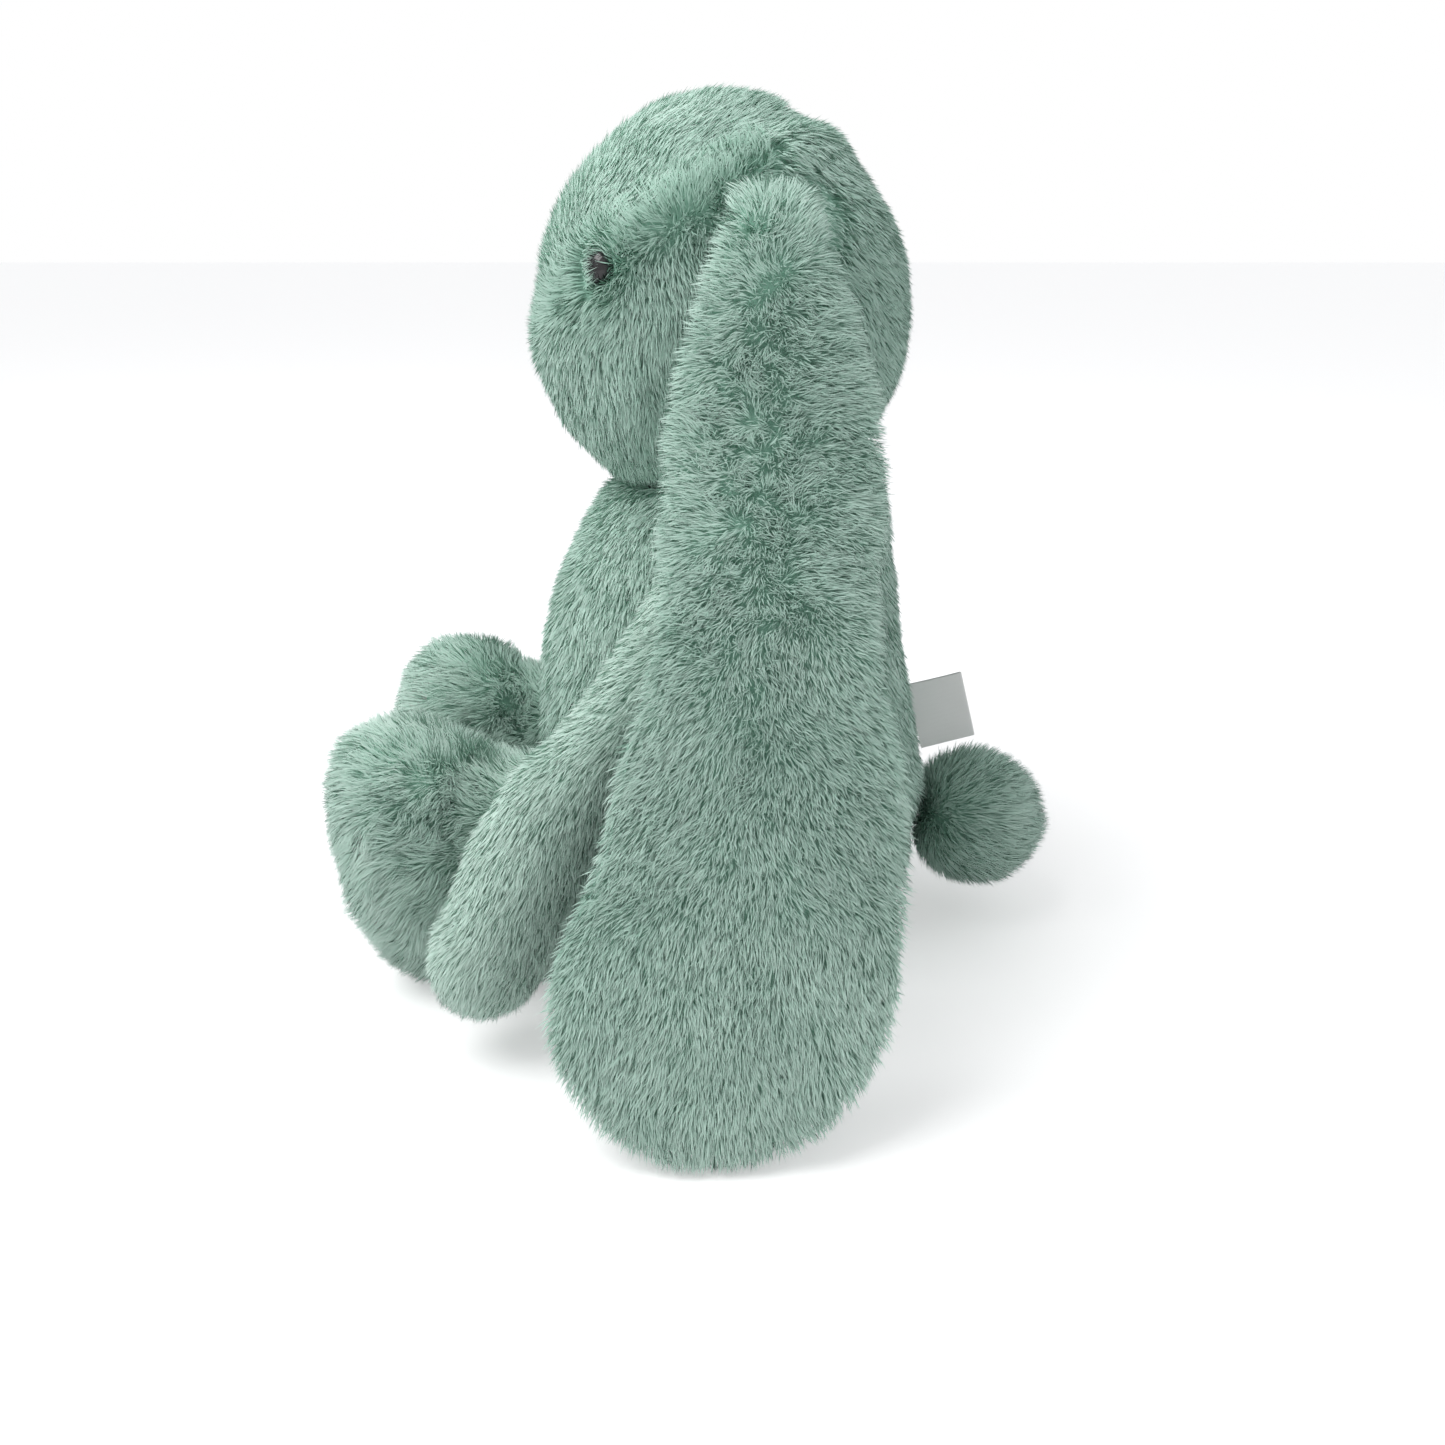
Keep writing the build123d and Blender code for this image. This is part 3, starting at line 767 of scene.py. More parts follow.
def fold_lids(root, waist, tip, rng):
    """Lays the fibres that stand in front of an eye over the front half of its dome."""
    for eye, line in zip(eyes, eye_lines):
        front = np.array([0, -1, 0]) + line * line[1]
        front /= np.linalg.norm(front)
        off = root - eye
        ahead = off @ front
        far = np.linalg.norm(off, axis=1)
        lid = (far < LID_REACH) & (ahead > 0.3 * far) & (rng.random(len(root)) < LID_SHARE)
        sideways = off - ahead[:, None] * front - (off @ line)[:, None] * line
        stray = rng.normal(0, 0.7 * MM, off.shape)
        waist[lid] = (eye + front * 3.4 * MM + line * 2.8 * MM + sideways * 0.8 + stray)[lid]
        tip[lid] = (eye - front * 0.8 * MM + line * 4.6 * MM + sideways * 0.65 + stray * 1.7)[lid]


# %% [markdown]
# A blade is a narrow kite: one point at its root, two where it is widest, and one at its tip. It bends at its
# waist and is turned any way about its length, as round fibres look the same from all sides. The flow says
# which way it leans, and the length of the flow's vector says how far: 0 stands up and 1 lies nearly flat.

# %% One skin's fibres
SOFTNESS = 0.78  # how far a blade is shaded as the cloth below it, not as the blade that it is
ROOTED = 0.4 * MM  # how deep a root stands in the backing
FLOOR_GAP = 0.3 * MM  # no fibre comes nearer to the floor


def combed(root, way, room, flow, length, curl, seed, rng):
    """The waist and tip of each blade as it is brushed, shorter where it has no room, and how far it leans."""
    count = len(root)
    bend = noise(root, 14 * MM, seed + 1) * 0.3 + noise(root, (4 + 8 * curl) * MM, seed + 2) * (0.12 + curl)
    brushed = flow(root, way) + bend + rng.normal(0, 0.16, (count, 3))
    brushed -= way * np.sum(brushed * way, axis=1)[:, None]
    lean = np.clip(np.linalg.norm(brushed, axis=1), 0.05, 1.15)
    over = unit(brushed)
    low, high = np.radians(8 + 36 * lean), np.radians(16 + 58 * lean)
    reach = length * rng.uniform(0.78, 1.12, count) * (1 + 0.12 * noise(root, 9 * MM, seed + 3)[:, 0])
    stands = reach * (np.cos(low) + np.cos(high)) / 2
    reach *= np.clip(room / stands, 0.55, 1)
    curve = noise(root, 5 * MM, seed + 4) * curl
    first = unit(way * np.cos(low)[:, None] + over * np.sin(low)[:, None] + curve)
    second = unit(way * np.cos(high)[:, None] + over * np.sin(high)[:, None] - curve)
    waist = root + first * (reach * 0.5)[:, None]
    return waist, waist + second * (reach * 0.5)[:, None], lean


def gathered(root, waist, tip, per_mm2, tuft, gather, rng):
    """Draws blades towards the leader of their tuft, which is the nearest of some picked ones."""
    count = len(root)
    seeds = rng.choice(count, max(1, int(count / per_mm2 / (tuft / MM) ** 2)), replace=False)
    tree = KDTree(len(seeds))
    for n, place in enumerate(root[seeds]):
        tree.insert(place, n)
    tree.balance()
    leader = seeds[np.array([tree.find(place)[1] for place in root])]
    pull = (gather * rng.uniform(0.5, 1.3, count))[:, None]
    tip += (tip[leader] - tip + (root - root[leader]) * 0.25) * pull
    waist += (waist[leader] - waist + (root - root[leader]) * 0.6) * pull * 0.4
    return waist, tip, leader


def fibres(skin, flow, per_mm2, length, width, tuft, gather, curl, painted_light, seed):
    """The four points of each of a skin's blades, the way each is shaded, and each one's tone, painted shade
    and light included.
    """
    rng = np.random.default_rng(seed)
    root, way, room = scattered(skin, per_mm2, rng)
    free = ~over_the_eyes(root, 0)[1] & ~behind_nose(root)
    free &= (room > 0.8 * MM) | (rng.random(len(root)) < 0.4)
    root, way, room = root[free], way[free], room[free]
    count = len(root)
    waist, tip, lean = combed(root, way, room, flow, length, curl, seed, rng)
    waist, tip, leader = gathered(root, waist, tip, per_mm2, tuft, gather, rng)
    fold_lids(root, waist, tip, rng)
    waist, tip = over_the_eyes(waist, 0.9 * MM)[0], over_the_eyes(tip, 0.6 * MM)[0]

    side = rng.normal(0, 1, (count, 3))
    line = unit(tip - root)
    side = unit(side - line * np.sum(side * line, axis=1)[:, None])
    side *= np.where(np.sum(np.cross(line, side) * way, axis=1) > 0, -1, 1)[:, None]
    half = width / 2 * rng.uniform(0.7, 1.25, count)[:, None]
    # Painted shade and light: standing blades are darker and lying ones paler, and each part's paleness is set
    # for how it is lit. The rest varies at random.
    tone_and_shade = painted_light + 0.45 * (lean - 0.55) + 0.14 * noise(root, 22 * MM, seed + 5)[:, 0]
    tone_and_shade += 0.1 * rng.uniform(-1, 1, count)[leader] + 0.12 * rng.uniform(-1, 1, count)
    points = np.stack([root - way * ROOTED, waist - side * half, waist + side * half, tip], axis=1)
    points[:, :, 2] = np.maximum(points[:, :, 2], FLOOR_GAP)
    square = np.cross(side, line)
    square *= np.where(np.sum(square * way, axis=1) < 0, -1, 1)[:, None]
    shading = unit(way * SOFTNESS + square * (1 - SOFTNESS))
    return points, shading, np.clip(tone_and_shade, 0.02, 0.98)


print("a blade is shaded", SOFTNESS, "as its cloth")

# %% [markdown]
# The blades are written straight into a mesh, two triangles each, with the map's places set face corner by
# face corner. Light scatters between real fibres, so a pile shades as softly as the cloth below it. The
# blades borrow that: their normals are turned most of the way to the cloth's own.

# %% Blades as a mesh
def turn_normals(mesh, directions):
    """Gives a mesh's vertices these normals for its shading."""
    made = mesh.attributes.new("custom_normal", "FLOAT_VECTOR", "POINT")
    made.data.foreach_set("vector", directions.astype(np.float32).ravel())


def blade_mesh(name, points, shading, tone_and_shade):
    """One mesh of all these blades, mapped by their tone, painted shade and light included, and from root to
    tip.
    """
    count = len(points)
    mesh = bpy.data.meshes.new(name)
    mesh.vertices.add(count * 4)
    mesh.vertices.foreach_set("co", points.astype(np.float32).ravel())
    corner = np.arange(count)[:, None] * 4 + np.array([0, 2, 1, 1, 2, 3])
    mesh.loops.add(count * 6)
    mesh.loops.foreach_set("vertex_index", corner.astype(np.int32).ravel())
    mesh.polygons.add(count * 2)
    start = np.arange(count * 2) * 3
    mesh.polygons.foreach_set("loop_start", start.astype(np.int32))
    mesh.polygons.foreach_set("use_smooth", np.ones(count * 2, bool))
    mesh.update(calc_edges=True)
    across = np.array([0, 1, -1, -1, 1, 0]) * 0.0015
    upwards = np.array([0.01, 0.5, 0.5, 0.5, 0.5, 0.99]) * FIBRE_BAND
    places_on_map = np.empty((count, 6, 2), np.float32)
    places_on_map[:, :, 0] = tone_and_shade[:, None] + across
    places_on_map[:, :, 1] = upwards
    mesh.uv_layers.new(name="OFBake").data.foreach_set("uv", places_on_map.ravel())
    turn_normals(mesh, np.repeat(shading, 4, axis=0))
    return mesh


# %% [markdown]
# ## Which way the pile runs
# Plush is cut so that the pile runs down the toy, and it swirls where a seam or the hand has turned it. Each
# body part has its own flow, written for the part's place in the toy.

# %% Flows of the body, arms and tail
def steady(x, y, z):
    """The same way everywhere."""
    return lambda p, way: np.tile([x, y, z], (len(p), 1)).astype(float)


def torso_flow(p, way):
    flow = np.tile([0.0, 0.1, -0.85], (len(p), 1))
    flow[:, 0] = np.sign(p[:, 0]) * 0.15
    return flow


def arm_flow(p, way):
    flow = np.tile([0.0, -0.42, -0.8], (len(p), 1))
    flow[:, 0] = np.sign(p[:, 0]) * 0.2
    return flow


def tail_flow(p, way):
    """Away from where the tail is sewn on, and a little down."""
    sewn = tail_middle - np.array([0, tail_radius, 0])
    return unit(p - sewn) * 0.6 + np.array([0, 0.1, -0.15])


tail_middle = middle_of("tail_cover")
tail_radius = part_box("tail_cover")[1][0]
print("tail", tail_middle.round(4), round(tail_radius, 4))

# %% [markdown]
# On the head the pile parts around the eyes. On the cheeks it stands up against the seam above them.

# %% Flows of the head
def away_from_eyes(p, flow):
    """The eyes part the pile: behind one it stands up, and in front a small lid of it folds back over."""
    for eye in eyes:
        off = p - eye
        far = np.linalg.norm(off, axis=1)[:, None]
        away = off / np.maximum(far, 1e-6)
        in_front = np.clip(0.3 - away[:, 1:2] * 1.5, 0, 1)
        near = np.exp(-((far / (13 * MM)) ** 4))
        lid = np.exp(-((far / (8.2 * MM)) ** 8)) * in_front
        parted = away * (0.15 + 0.7 * in_front)
        flow = flow * (1 - near) + near * (parted * (1 - lid) - away * lid * 1.1)
    return flow


def cheek_flow(p, way):
    """Stands up against the seam and, further down, runs down the cheek."""
    down, square = below_seam(p)
    up_seam = np.tile(square, (len(p), 1))
    up_seam[:, 0] *= np.sign(p[:, 0])
    lift = np.exp(-((np.clip(down, 0, None) / (13 * MM)) ** 2))[:, None]
    flow = np.array([0.0, 0.25, -0.9]) * (1 - lift) + up_seam * 0.62 * lift
    return away_from_eyes(p, flow)


def gusset_flow(p, way):
    """Sleek, from the nose back over the crown."""
    flow = np.stack([p[:, 0] / head_radius * 0.3, np.full(len(p), 0.9), np.full(len(p), 0.35)], axis=1)
    return away_from_eyes(p, flow)


# %% [markdown]
# On the ears the pile fans out from the middle line near the root, where the cloth is gathered, and runs
# down to the tip further on.

# %% Flow of the ears
def ear_flow(p, way):
    """Fans out from the middle line near the root, and runs down the ear towards the tip."""
    share = np.clip((p[:, 2] - ear_low[2]) / (ear_high[2] - ear_low[2]), 0, 1)
    middle = np.interp(share, [0, 0.5, 1], [spine - 2 * MM, spine + 11 * MM, spine + 13.5 * MM])
    half = np.interp(share, [0, 0.25, 0.8, 1], [40 * MM, 46 * MM, 25 * MM, 12 * MM])
    aside = np.clip((p[:, 1] - middle) / half, -1.3, 1.3)
    falls = np.interp(share, [0, 0.3, 0.5, 0.65, 0.9, 1.0], [0.62, 0.52, 0.42, 0.2, 0.1, -0.5])
    fans = np.interp(share, [0, 0.3, 0.6, 1.0], [0.25, 0.4, 0.8, 0.9])
    mottled = np.interp(share, [0.45, 0.6, 0.9, 1.0], [0, 0.5, 0.6, 0.3]) * np.clip(1.1 - np.abs(aside), 0, 1)
    flow = np.stack([np.sign(p[:, 0]) * falls * 0.34, aside * fans, -falls], axis=1)
    return flow + noise(p, 3.5 * MM, 31) * mottled[:, None]


print("ear flow at the tip", ear_flow(np.array([[ear_high[0], spine, 0]]), None).round(2))

# %% [markdown]
# ## Panels
# Every face of a form belongs to the panel whose solid is nearest, so the sewn panels come out of the form as
# separate skins, cut where the solids are cut. Each gets a thickness inwards, as knitted backing has, and
# then its fur.

# %% Cut a form into its panels
def cut_out(form, chosen, name):
    """A copy of the form's chosen faces, as a skin of its own."""
    only(form)
    bpy.ops.object.duplicate()
    skin = bpy.context.object
    skin.name = name
    skin.data.polygons.foreach_set("select", ~chosen)
    bpy.ops.object.mode_set(mode="EDIT")
    bpy.ops.mesh.select_mode(type="FACE")
    bpy.ops.object.mode_set(mode="OBJECT")
    skin.data.polygons.foreach_set("select", ~chosen)
    bpy.ops.object.mode_set(mode="EDIT")
    bpy.ops.mesh.delete(type="FACE")
    bpy.ops.object.mode_set(mode="OBJECT")
    skin.data.polygons.foreach_set("use_smooth", np.ones(len(skin.data.polygons), bool))
    return skin


MAP_LOW = 0.3  # the backing is laid out above this, and the fibres below it


def map_backing(skin):
    """Lays the backing out flat in the upper part of the map."""
    skin.data.uv_layers.new(name="OFBake")
    edited(skin, bpy.ops.uv.smart_project, island_margin=0.002)
    spots = np.empty(len(skin.data.loops) * 2, np.float32)
    layer = skin.data.uv_layers["OFBake"]
    layer.data.foreach_get("uv", spots)
    spots = spots.reshape(-1, 2)
    spots[:, 1] = MAP_LOW + spots[:, 1] * 0.69
    layer.data.foreach_set("uv", spots.ravel())


# %% Dress a panel
BACKING = 1.0 * MM


def dress(form, covers, body, flows, pile, seed):
    """Cuts a form into its covers' panels and grows fur on each."""
    owner = nearest_panel(form, covers)
    for n, cover in enumerate(covers):
        skin = cut_out(form, owner == n, cover + "_plush")
        points, shading, tone_and_shade = fibres(skin, flows[n], seed=seed + 10 * n, **pile[n])
        skin.data.attributes.remove(skin.data.attributes["room"])
        map_backing(skin)
        apply_modifier(skin, "SOLIDIFY", thickness=BACKING, offset=-1)
        turn_normals(skin.data, outward(skin))
        mesh = blade_mesh(cover + "_blades", points, shading, tone_and_shade)
        blades = bpy.data.objects.new(mesh.name, mesh)
        bpy.context.scene.collection.objects.link(blades)
        only(skin, blades)
        bpy.ops.object.join()
        give_material(skin, plush_material)
        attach(skin, body)
        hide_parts(cover)
        print(cover, len(points), "fibres")
    bpy.data.objects.remove(form)


# %% [markdown]
# ## Piles
# The toy has one cloth, but its pile lies differently: short and brushed flat on the head and body, denser
# and even on the ears, and longer and gathered into tufts on the feet and the tail, where it has been handled
# less. The blades are counted for each square millimetre, and each part's fibres are painted paler or darker
# as a whole: painted light and shade for how that part is lit.

# %% The pile of each part
# Each pile's paleness paints that part's fibres paler or darker as a whole: painted light and shade for how
# the part is lit.
PLAIN = dict(per_mm2=3.1, length=7.2 * MM, width=0.37 * MM, tuft=1.0 * MM, gather=0.1, curl=0.05, painted_light=0.5)
BODY_PILE = dict(PLAIN, per_mm2=2.8)
HEAD_PILE = dict(PLAIN, per_mm2=3.5, length=6.8 * MM, painted_light=0.4)
EAR_PILE = dict(PLAIN, per_mm2=3.6, length=6.2 * MM, width=0.35 * MM, tuft=0.9 * MM, painted_light=0.65)
EAR_LINING_PILE = dict(PLAIN, per_mm2=2.3, length=6.2 * MM, width=0.42 * MM, tuft=0.9 * MM)
ARM_PILE = dict(PLAIN, per_mm2=3.5, length=6.8 * MM, width=0.35 * MM, tuft=0.8 * MM, painted_light=0.85)
FOOT_PILE = dict(PLAIN, length=9.8 * MM, tuft=2.2 * MM, gather=0.35, curl=0.35, painted_light=0.75)
TAIL_PILE = dict(PLAIN, length=9.6 * MM, tuft=1.6 * MM, gather=0.2, curl=0.1, painted_light=0.65)
print("piles", BODY_PILE["length"], EAR_PILE["length"], FOOT_PILE["length"])

# %% [markdown]
# The thin wadding of an ear is shut in between its two panels, so its lining stands for it as well.

# %% Dress every part
napes = [steady(0, 0.5, -0.75)] * 2
dress(forms["torso"], TORSO, "torso", [torso_flow] * 3, [BODY_PILE] * 3, 100)
dress(forms["head"], HEAD, "head", [gusset_flow, cheek_flow, cheek_flow, *napes], [HEAD_PILE] * 5, 200)
dress(forms["tail"], ["tail_cover"], "tail", [tail_flow], [TAIL_PILE], 300)
for side, seed in (("left", 400), ("right", 600)):
    here = [[name.replace("left", side) for name in covers] for covers in (EAR, ARM, LEG)]
    dress(forms["ear_" + side], here[0], "ear_" + side, [ear_flow] * 2, [EAR_PILE, EAR_LINING_PILE], seed)
    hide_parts("ear_" + side + "_wadding")
    dress(forms["arm_" + side], here[1], "arm_" + side, [arm_flow] * 2, [ARM_PILE] * 2, seed + 40)
    leg_flows = [steady(0, -0.5, -0.35)] * 2 + [steady(0.1, 0, -0.4)]
    dress(forms["leg_" + side], here[2], "leg_" + side, leg_flows, [FOOT_PILE] * 3, seed + 80)

# %% [markdown]
# ## Eyes
# A safety eye is one moulding of polished black plastic. Its shape is right in the frame, so it only needs
# its finish: nearly black, glossy, with the faint unevenness of a moulded surface and fine rubbing.

# %% Eye plastic
def coat_solids(finish, *names):
    """Gives solids of the frame their finish."""
    for name in names:
        for slot in nodes[name].material_slots:
            slot.material = finish
    print(finish.name, "on", len(names), "solids")


eye = Finish("polished_black", Coat_Weight=0.3, Coat_Roughness=0.03, Specular_IOR_Level=0.4)
eye_place = eye.here()
rubbed = eye.node("TexNoise", Vector=eye_place, Scale=700.0, Detail=4.0)
uneven = eye.node("TexNoise", Vector=eye_place, Scale=160.0)
eye_colour = eye.ramp(rubbed, (0.4, (0.006, 0.006, 0.007)), (0.75, (0.02, 0.02, 0.022)))
eye_bump = eye.bump(uneven, 0.03, 0.0005)
coat_solids(eye.wear(Base_Color=eye_colour, Roughness=rubbed * 0.16 + 0.04, Normal=eye_bump),
            "eye_left", "eye_right")

# %% [markdown]
# ## Nose
# The nose is worked in satin stitch: thick thread laid side by side from the top edge to the point. One
# stitch is modelled as a cylinder that bulges in its middle, and copied across at the length that the
# triangle leaves for it.

# %% Nose stitches
NOSE_STITCHES = 13
NOSE_CROWN = 0.5 * MM  # how much further the middle stitch stands out
STITCH_ENDS = 0.9 * MM  # how deep the ends of a stitch go back into the cloth
stitch_width = nose_size[0] / NOSE_STITCHES
stitches = []
for n in range(NOSE_STITCHES):
    aside = (n + 0.5) / NOSE_STITCHES * 2 - 1
    tall = nose_size[2] * (1 - 0.86 * abs(aside))
    dome = NOSE_CROWN * (1 - aside**2)
    centre = (aside * nose_high[0], nose_seat - 0.3 * MM - dome, nose_high[2] - tall / 2)
    bpy.ops.object.select_all(action="DESELECT")
    bpy.ops.mesh.primitive_cylinder_add(vertices=10, radius=stitch_width * 0.62, depth=tall, location=centre)
    stitch = bpy.context.object
    bpy.ops.object.transform_apply()
    bpy.ops.object.mode_set(mode="EDIT")
    bpy.ops.mesh.select_mode(type="EDGE")
    bpy.ops.mesh.select_all(action="SELECT")
    bpy.ops.mesh.subdivide(number_cuts=2)
    bpy.ops.object.mode_set(mode="OBJECT")
    co = places(stitch)
    along = (co[:, 2] - centre[2]) / (tall / 2)
    co[:, 1] += STITCH_ENDS * np.abs(along) ** 3
    set_places(stitch, co)
    apply_modifier(stitch, "SUBSURF", levels=1, render_levels=1)
    stitches.append(stitch)
only(*stitches)
bpy.ops.object.join()
nose_piece = bpy.context.object
nose_piece.name = "nose_stitches"
only(nose_piece)
bpy.ops.object.shade_smooth()
print("nose", len(nose_piece.data.polygons), "faces")

# %% [markdown]
# The thread is twisted, so a fine slanting ripple runs round each stitch, and its colour varies a little from
# one stitch to the next.

# %% Nose thread
nose_thread = Finish("nose_thread", Roughness=0.55, Sheen_Weight=0.3)
thread_place = nose_thread.node("SeparateXYZ", Vector=nose_thread.here())
thread_side = thread_place * (1 / stitch_width)
slant = nose_thread.output(thread_place, "Z") * 9000.0 + thread_side * 6.0
ply = slant.sine()
stitch_number = thread_side.sum("FLOOR", thread_side)
by_stitch = nose_thread.node("TexWhiteNoise", {"noise_dimensions": "1D"}, W=stitch_number)
thread_tone = (ply * 0.3 + 0.35 + by_stitch * 0.3).clamped()
thread_colour = nose_thread.ramp(thread_tone, (0.0, (0.13, 0.25, 0.19)), (1.0, (0.19, 0.33, 0.26)))
thread_bump = nose_thread.bump(ply, 0.35, 0.0002)
give_material(nose_piece, nose_thread.wear(Base_Color=thread_colour, Normal=thread_bump))
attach(nose_piece, "head")
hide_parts("nose")
print("nose thread", len(nose_thread.tree.nodes), "nodes")

# %% [markdown]
# ## Label
# The label is a length of woven ribbon, folded in half and caught in the seam of the back. It is bare. The
# strip is modelled flat and then led around its fold: out, around the bend, and back beside itself. It leans
# a little, as a label that is sewn in by hand does.

# %% Sizes of the label
label_joint = [joint for joint in frame["joints"] if joint["name"] == "label_flap"][0]
label_root = np.array(label_joint["pos_m"])
label_up = np.array(label_joint["axis"])
LABEL_HEIGHT = 24 * MM
LABEL_REACH = 19 * MM  # from the seam to the fold
RIBBON = 0.45 * MM  # thickness
LABEL_LEAN = 0.17  # radians
CURVE = 0.9 * MM  # how far a corner of the label curls aside
half_gap = 0.55 * MM  # half the way between the two leaves
leaf = LABEL_REACH - half_gap
ribbon_length = 2 * leaf + np.pi * half_gap
print("ribbon", round(ribbon_length / MM, 1), "mm long")

# %% Lead the ribbon around its fold
bpy.ops.object.select_all(action="DESELECT")
bpy.ops.mesh.primitive_grid_add(x_subdivisions=60, y_subdivisions=14, size=1)
label_piece = bpy.context.object
label_piece.name = "label_ribbon"
flat = places(label_piece) + 0.5
run = flat[:, 0] * ribbon_length
turn = np.clip((run - leaf) / half_gap, 0, np.pi)
out_from_root = np.where(run < leaf, run, np.where(run > ribbon_length - leaf, ribbon_length - run, leaf))
out_from_root = out_from_root + half_gap * np.sin(turn)
aside = half_gap * np.cos(turn) + CURVE * np.sin(out_from_root / LABEL_REACH * 2.2) * (flat[:, 1] - 0.2)
upwards = (flat[:, 1] - 0.5) * LABEL_HEIGHT
level = upwards * np.cos(LABEL_LEAN) + (out_from_root - 4 * MM) * np.sin(LABEL_LEAN)
out_from_root = out_from_root * np.cos(LABEL_LEAN) - upwards * np.sin(LABEL_LEAN)
outwards = np.array([0, label_up[2], -label_up[1]])
root_middle = label_root + label_up * LABEL_HEIGHT / 2
co = root_middle + out_from_root[:, None] * outwards + level[:, None] * label_up
co[:, 0] += aside
set_places(label_piece, co)
print("label hangs from", root_middle.round(4))

# %% Map of the ribbon, and its thickness
ribbon_map = label_piece.data.uv_layers.new(name="OFBake")
corner_of = np.empty(len(label_piece.data.loops), np.int32)
label_piece.data.loops.foreach_get("vertex_index", corner_of)
ribbon_map.data.foreach_set("uv", (flat[corner_of, :2] * 0.98 + 0.01).astype(np.float32).ravel())
for other_map in [m.name for m in label_piece.data.uv_layers if m.name != "OFBake"]:
    label_piece.data.uv_layers.remove(label_piece.data.uv_layers[other_map])
apply_modifier(label_piece, "SOLIDIFY", thickness=RIBBON, offset=0)
only(label_piece)
bpy.ops.object.shade_smooth_by_angle()
print("label", len(label_piece.data.polygons), "faces")

# %% [markdown]
# Woven ribbon shows fine ribs across its length and finer warp along it. Both are sine waves over the
# ribbon's own map, so they follow the cloth around the fold.

# %% Ribbon weave
ribbon = Finish("label_ribbon", Roughness=0.6, Sheen_Weight=0.2, Specular_IOR_Level=0.25)
ribbon_place = ribbon.node("SeparateXYZ", Vector=ribbon.node("UVMap", {"uv_map": "OFBake"}))
weft = ribbon_place * (2 * np.pi * 110)
warp = ribbon.output(ribbon_place, "Y") * (2 * np.pi * 75)
weave = weft.sine() * 0.5 + warp.sine() * 0.5
# A painted sheen: soft patches of noise that lighten the ribbon's colour.
painted_sheen = ribbon.node("TexNoise", Vector=ribbon.here(), Scale=120.0)
ribbon_tone = (weave * 0.22 + 0.4 + painted_sheen * 0.3).clamped()
ribbon_colour = ribbon.ramp(ribbon_tone, (0.0, (0.82, 0.83, 0.81)), (1.0, (0.95, 0.95, 0.94)))
ribbon_bump = ribbon.bump(weave, 0.3, 0.0002)
give_material(label_piece, ribbon.wear(Base_Color=ribbon_colour, Normal=ribbon_bump))
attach(label_piece, "label")
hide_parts("label")
print("ribbon", len(ribbon.tree.nodes), "nodes")

# %% [markdown]
# ## What is inside
# The filling, the pellet bag, the washers of the eyes and the gathering thread of the neck are out of sight,
# but each has its own finish for whoever opens the toy: curled white fibre, plain woven cotton, moulded
# plastic and twisted thread.

# %% Filling
filling = Finish("hollow_fibre", Roughness=0.95, Sheen_Weight=0.4)
filling_place = filling.here()
curls = filling.node("TexNoise", Vector=filling_place, Scale=260.0, Detail=6.0, Distortion=2.5)
lumps = filling.node("TexNoise", Vector=filling_place, Scale=60.0, Detail=2.0)
filling_colour = filling.ramp(
    curls * 0.6 + lumps * 0.4, (0.3, (0.7, 0.7, 0.67)), (0.65, (0.88, 0.88, 0.86))
)
filling_bump = filling.bump(curls + lumps, 0.8, 0.003)
coat_solids(filling.wear(Base_Color=filling_colour, Normal=filling_bump),
            *[name for name in nodes if name.endswith("filling")])

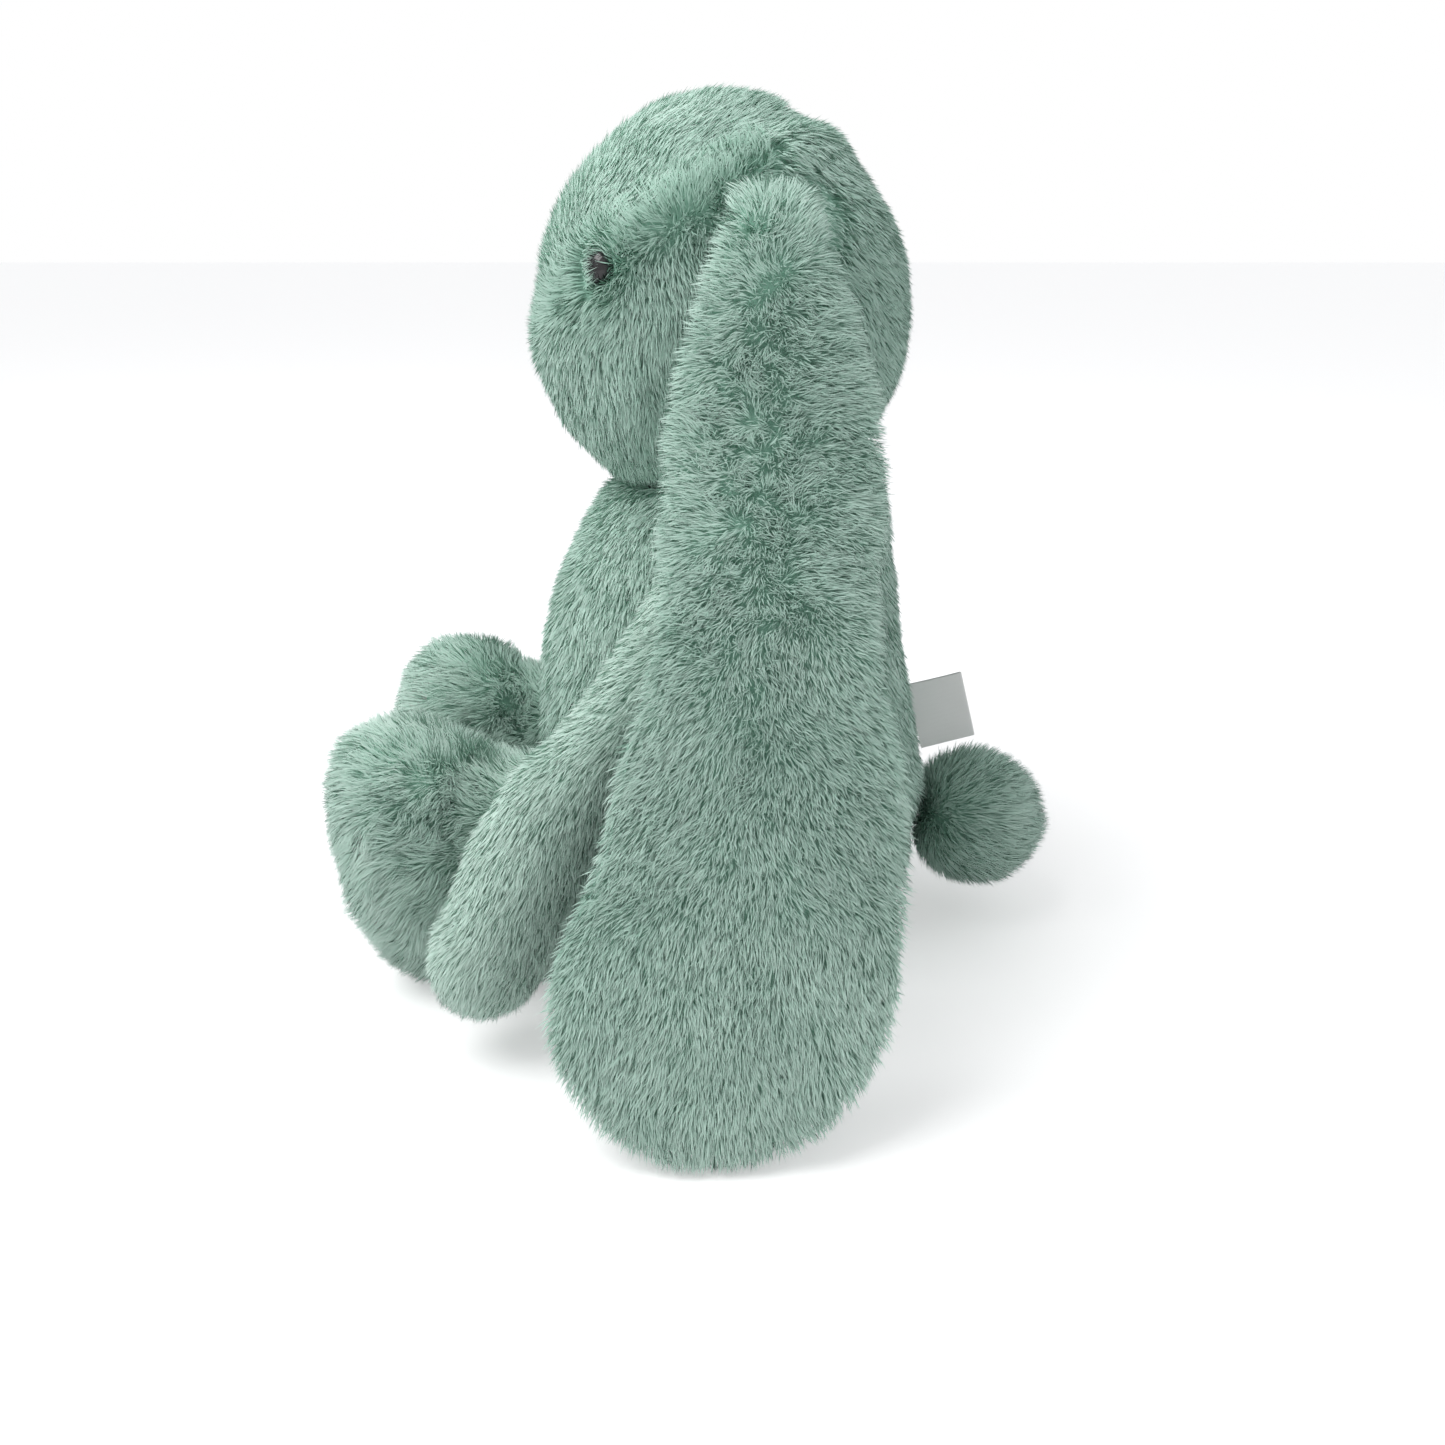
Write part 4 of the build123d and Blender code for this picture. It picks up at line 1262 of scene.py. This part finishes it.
# %% Pellet bag
cotton = Finish("bag_cotton", Roughness=0.85, Sheen_Weight=0.1)
cotton_place = cotton.here()
cotton_axes = cotton.node("SeparateXYZ", Vector=cotton_place)
one_way = (cotton_axes + cotton.output(cotton_axes, "Y")) * 9000.0
other_way = (cotton.output(cotton_axes, "Z") + cotton.output(cotton_axes, "Y")) * 9000.0
crossing = one_way.sine() * 0.5 + other_way.sine() * 0.5
pellets = cotton.node("TexVoronoi", Vector=cotton_place, Scale=260.0)
cotton_colour = cotton.ramp(
    (crossing * 0.2 + 0.5).clamped(), (0.0, (0.6, 0.6, 0.55)), (1.0, (0.8, 0.8, 0.74))
)
cotton_bump = cotton.bump(crossing * 0.1 - pellets, 0.6, 0.002)
coat_solids(cotton.wear(Base_Color=cotton_colour, Normal=cotton_bump), "pellet_bag")

# %% Washers
moulded = Finish("moulded_white", Roughness=0.45)
speckle = moulded.node("TexNoise", Vector=moulded.here(), Scale=1500.0, Detail=3.0)
moulded_colour = moulded.ramp(speckle, (0.3, (0.78, 0.78, 0.76)), (0.7, (0.84, 0.84, 0.82)))
moulded_bump = moulded.bump(speckle, 0.1, 0.0003)
coat_solids(moulded.wear(Base_Color=moulded_colour, Roughness=speckle * 0.25 + 0.35, Normal=moulded_bump),
            "eye_washer_left", "eye_washer_right")

# %% Neck thread
thread = Finish("neck_thread", Roughness=0.7, Sheen_Weight=0.2)
twist_axes = thread.node("SeparateXYZ", Vector=thread.here())
round_neck = twist_axes.sum("ARCTAN2", thread.output(twist_axes, "Y") - spine, twist_axes)
twist = round_neck * 150.0 + thread.output(twist_axes, "Z") * 2500.0
strand = twist.sine()
strand_colour = thread.ramp(
    (strand * 0.4 + 0.5).clamped(), (0.0, (0.13, 0.27, 0.2)), (1.0, (0.24, 0.42, 0.33))
)
strand_bump = thread.bump(strand, 0.5, 0.0004)
coat_solids(thread.wear(Base_Color=strand_colour, Normal=strand_bump), "neck_thread_ring")

# %% [markdown]
# ## Floor
# White paper, which keeps the toy's shadow. To the camera it glows a little as well, so that it runs into the
# white behind it without a line.

# %% Floor
bpy.ops.mesh.primitive_plane_add(size=12, location=(0, 0, 0))
floor = bpy.context.object
floor.name = "floor"
GLOW = 0.4  # how much light the paper adds, to the camera alone
paper = Finish("white_paper", Roughness=0.9, Base_Color=(0.9, 0.9, 0.9, 1), Emission_Strength=1.0)
looked_at = paper.node("LightPath")
seen_share = looked_at.sum("MAXIMUM", looked_at, paper.output(looked_at, "Is Glossy Ray"))
floor.data.materials.append(paper.wear(Emission_Color=seen_share * GLOW))
print("floor", tuple(floor.dimensions)[:2])
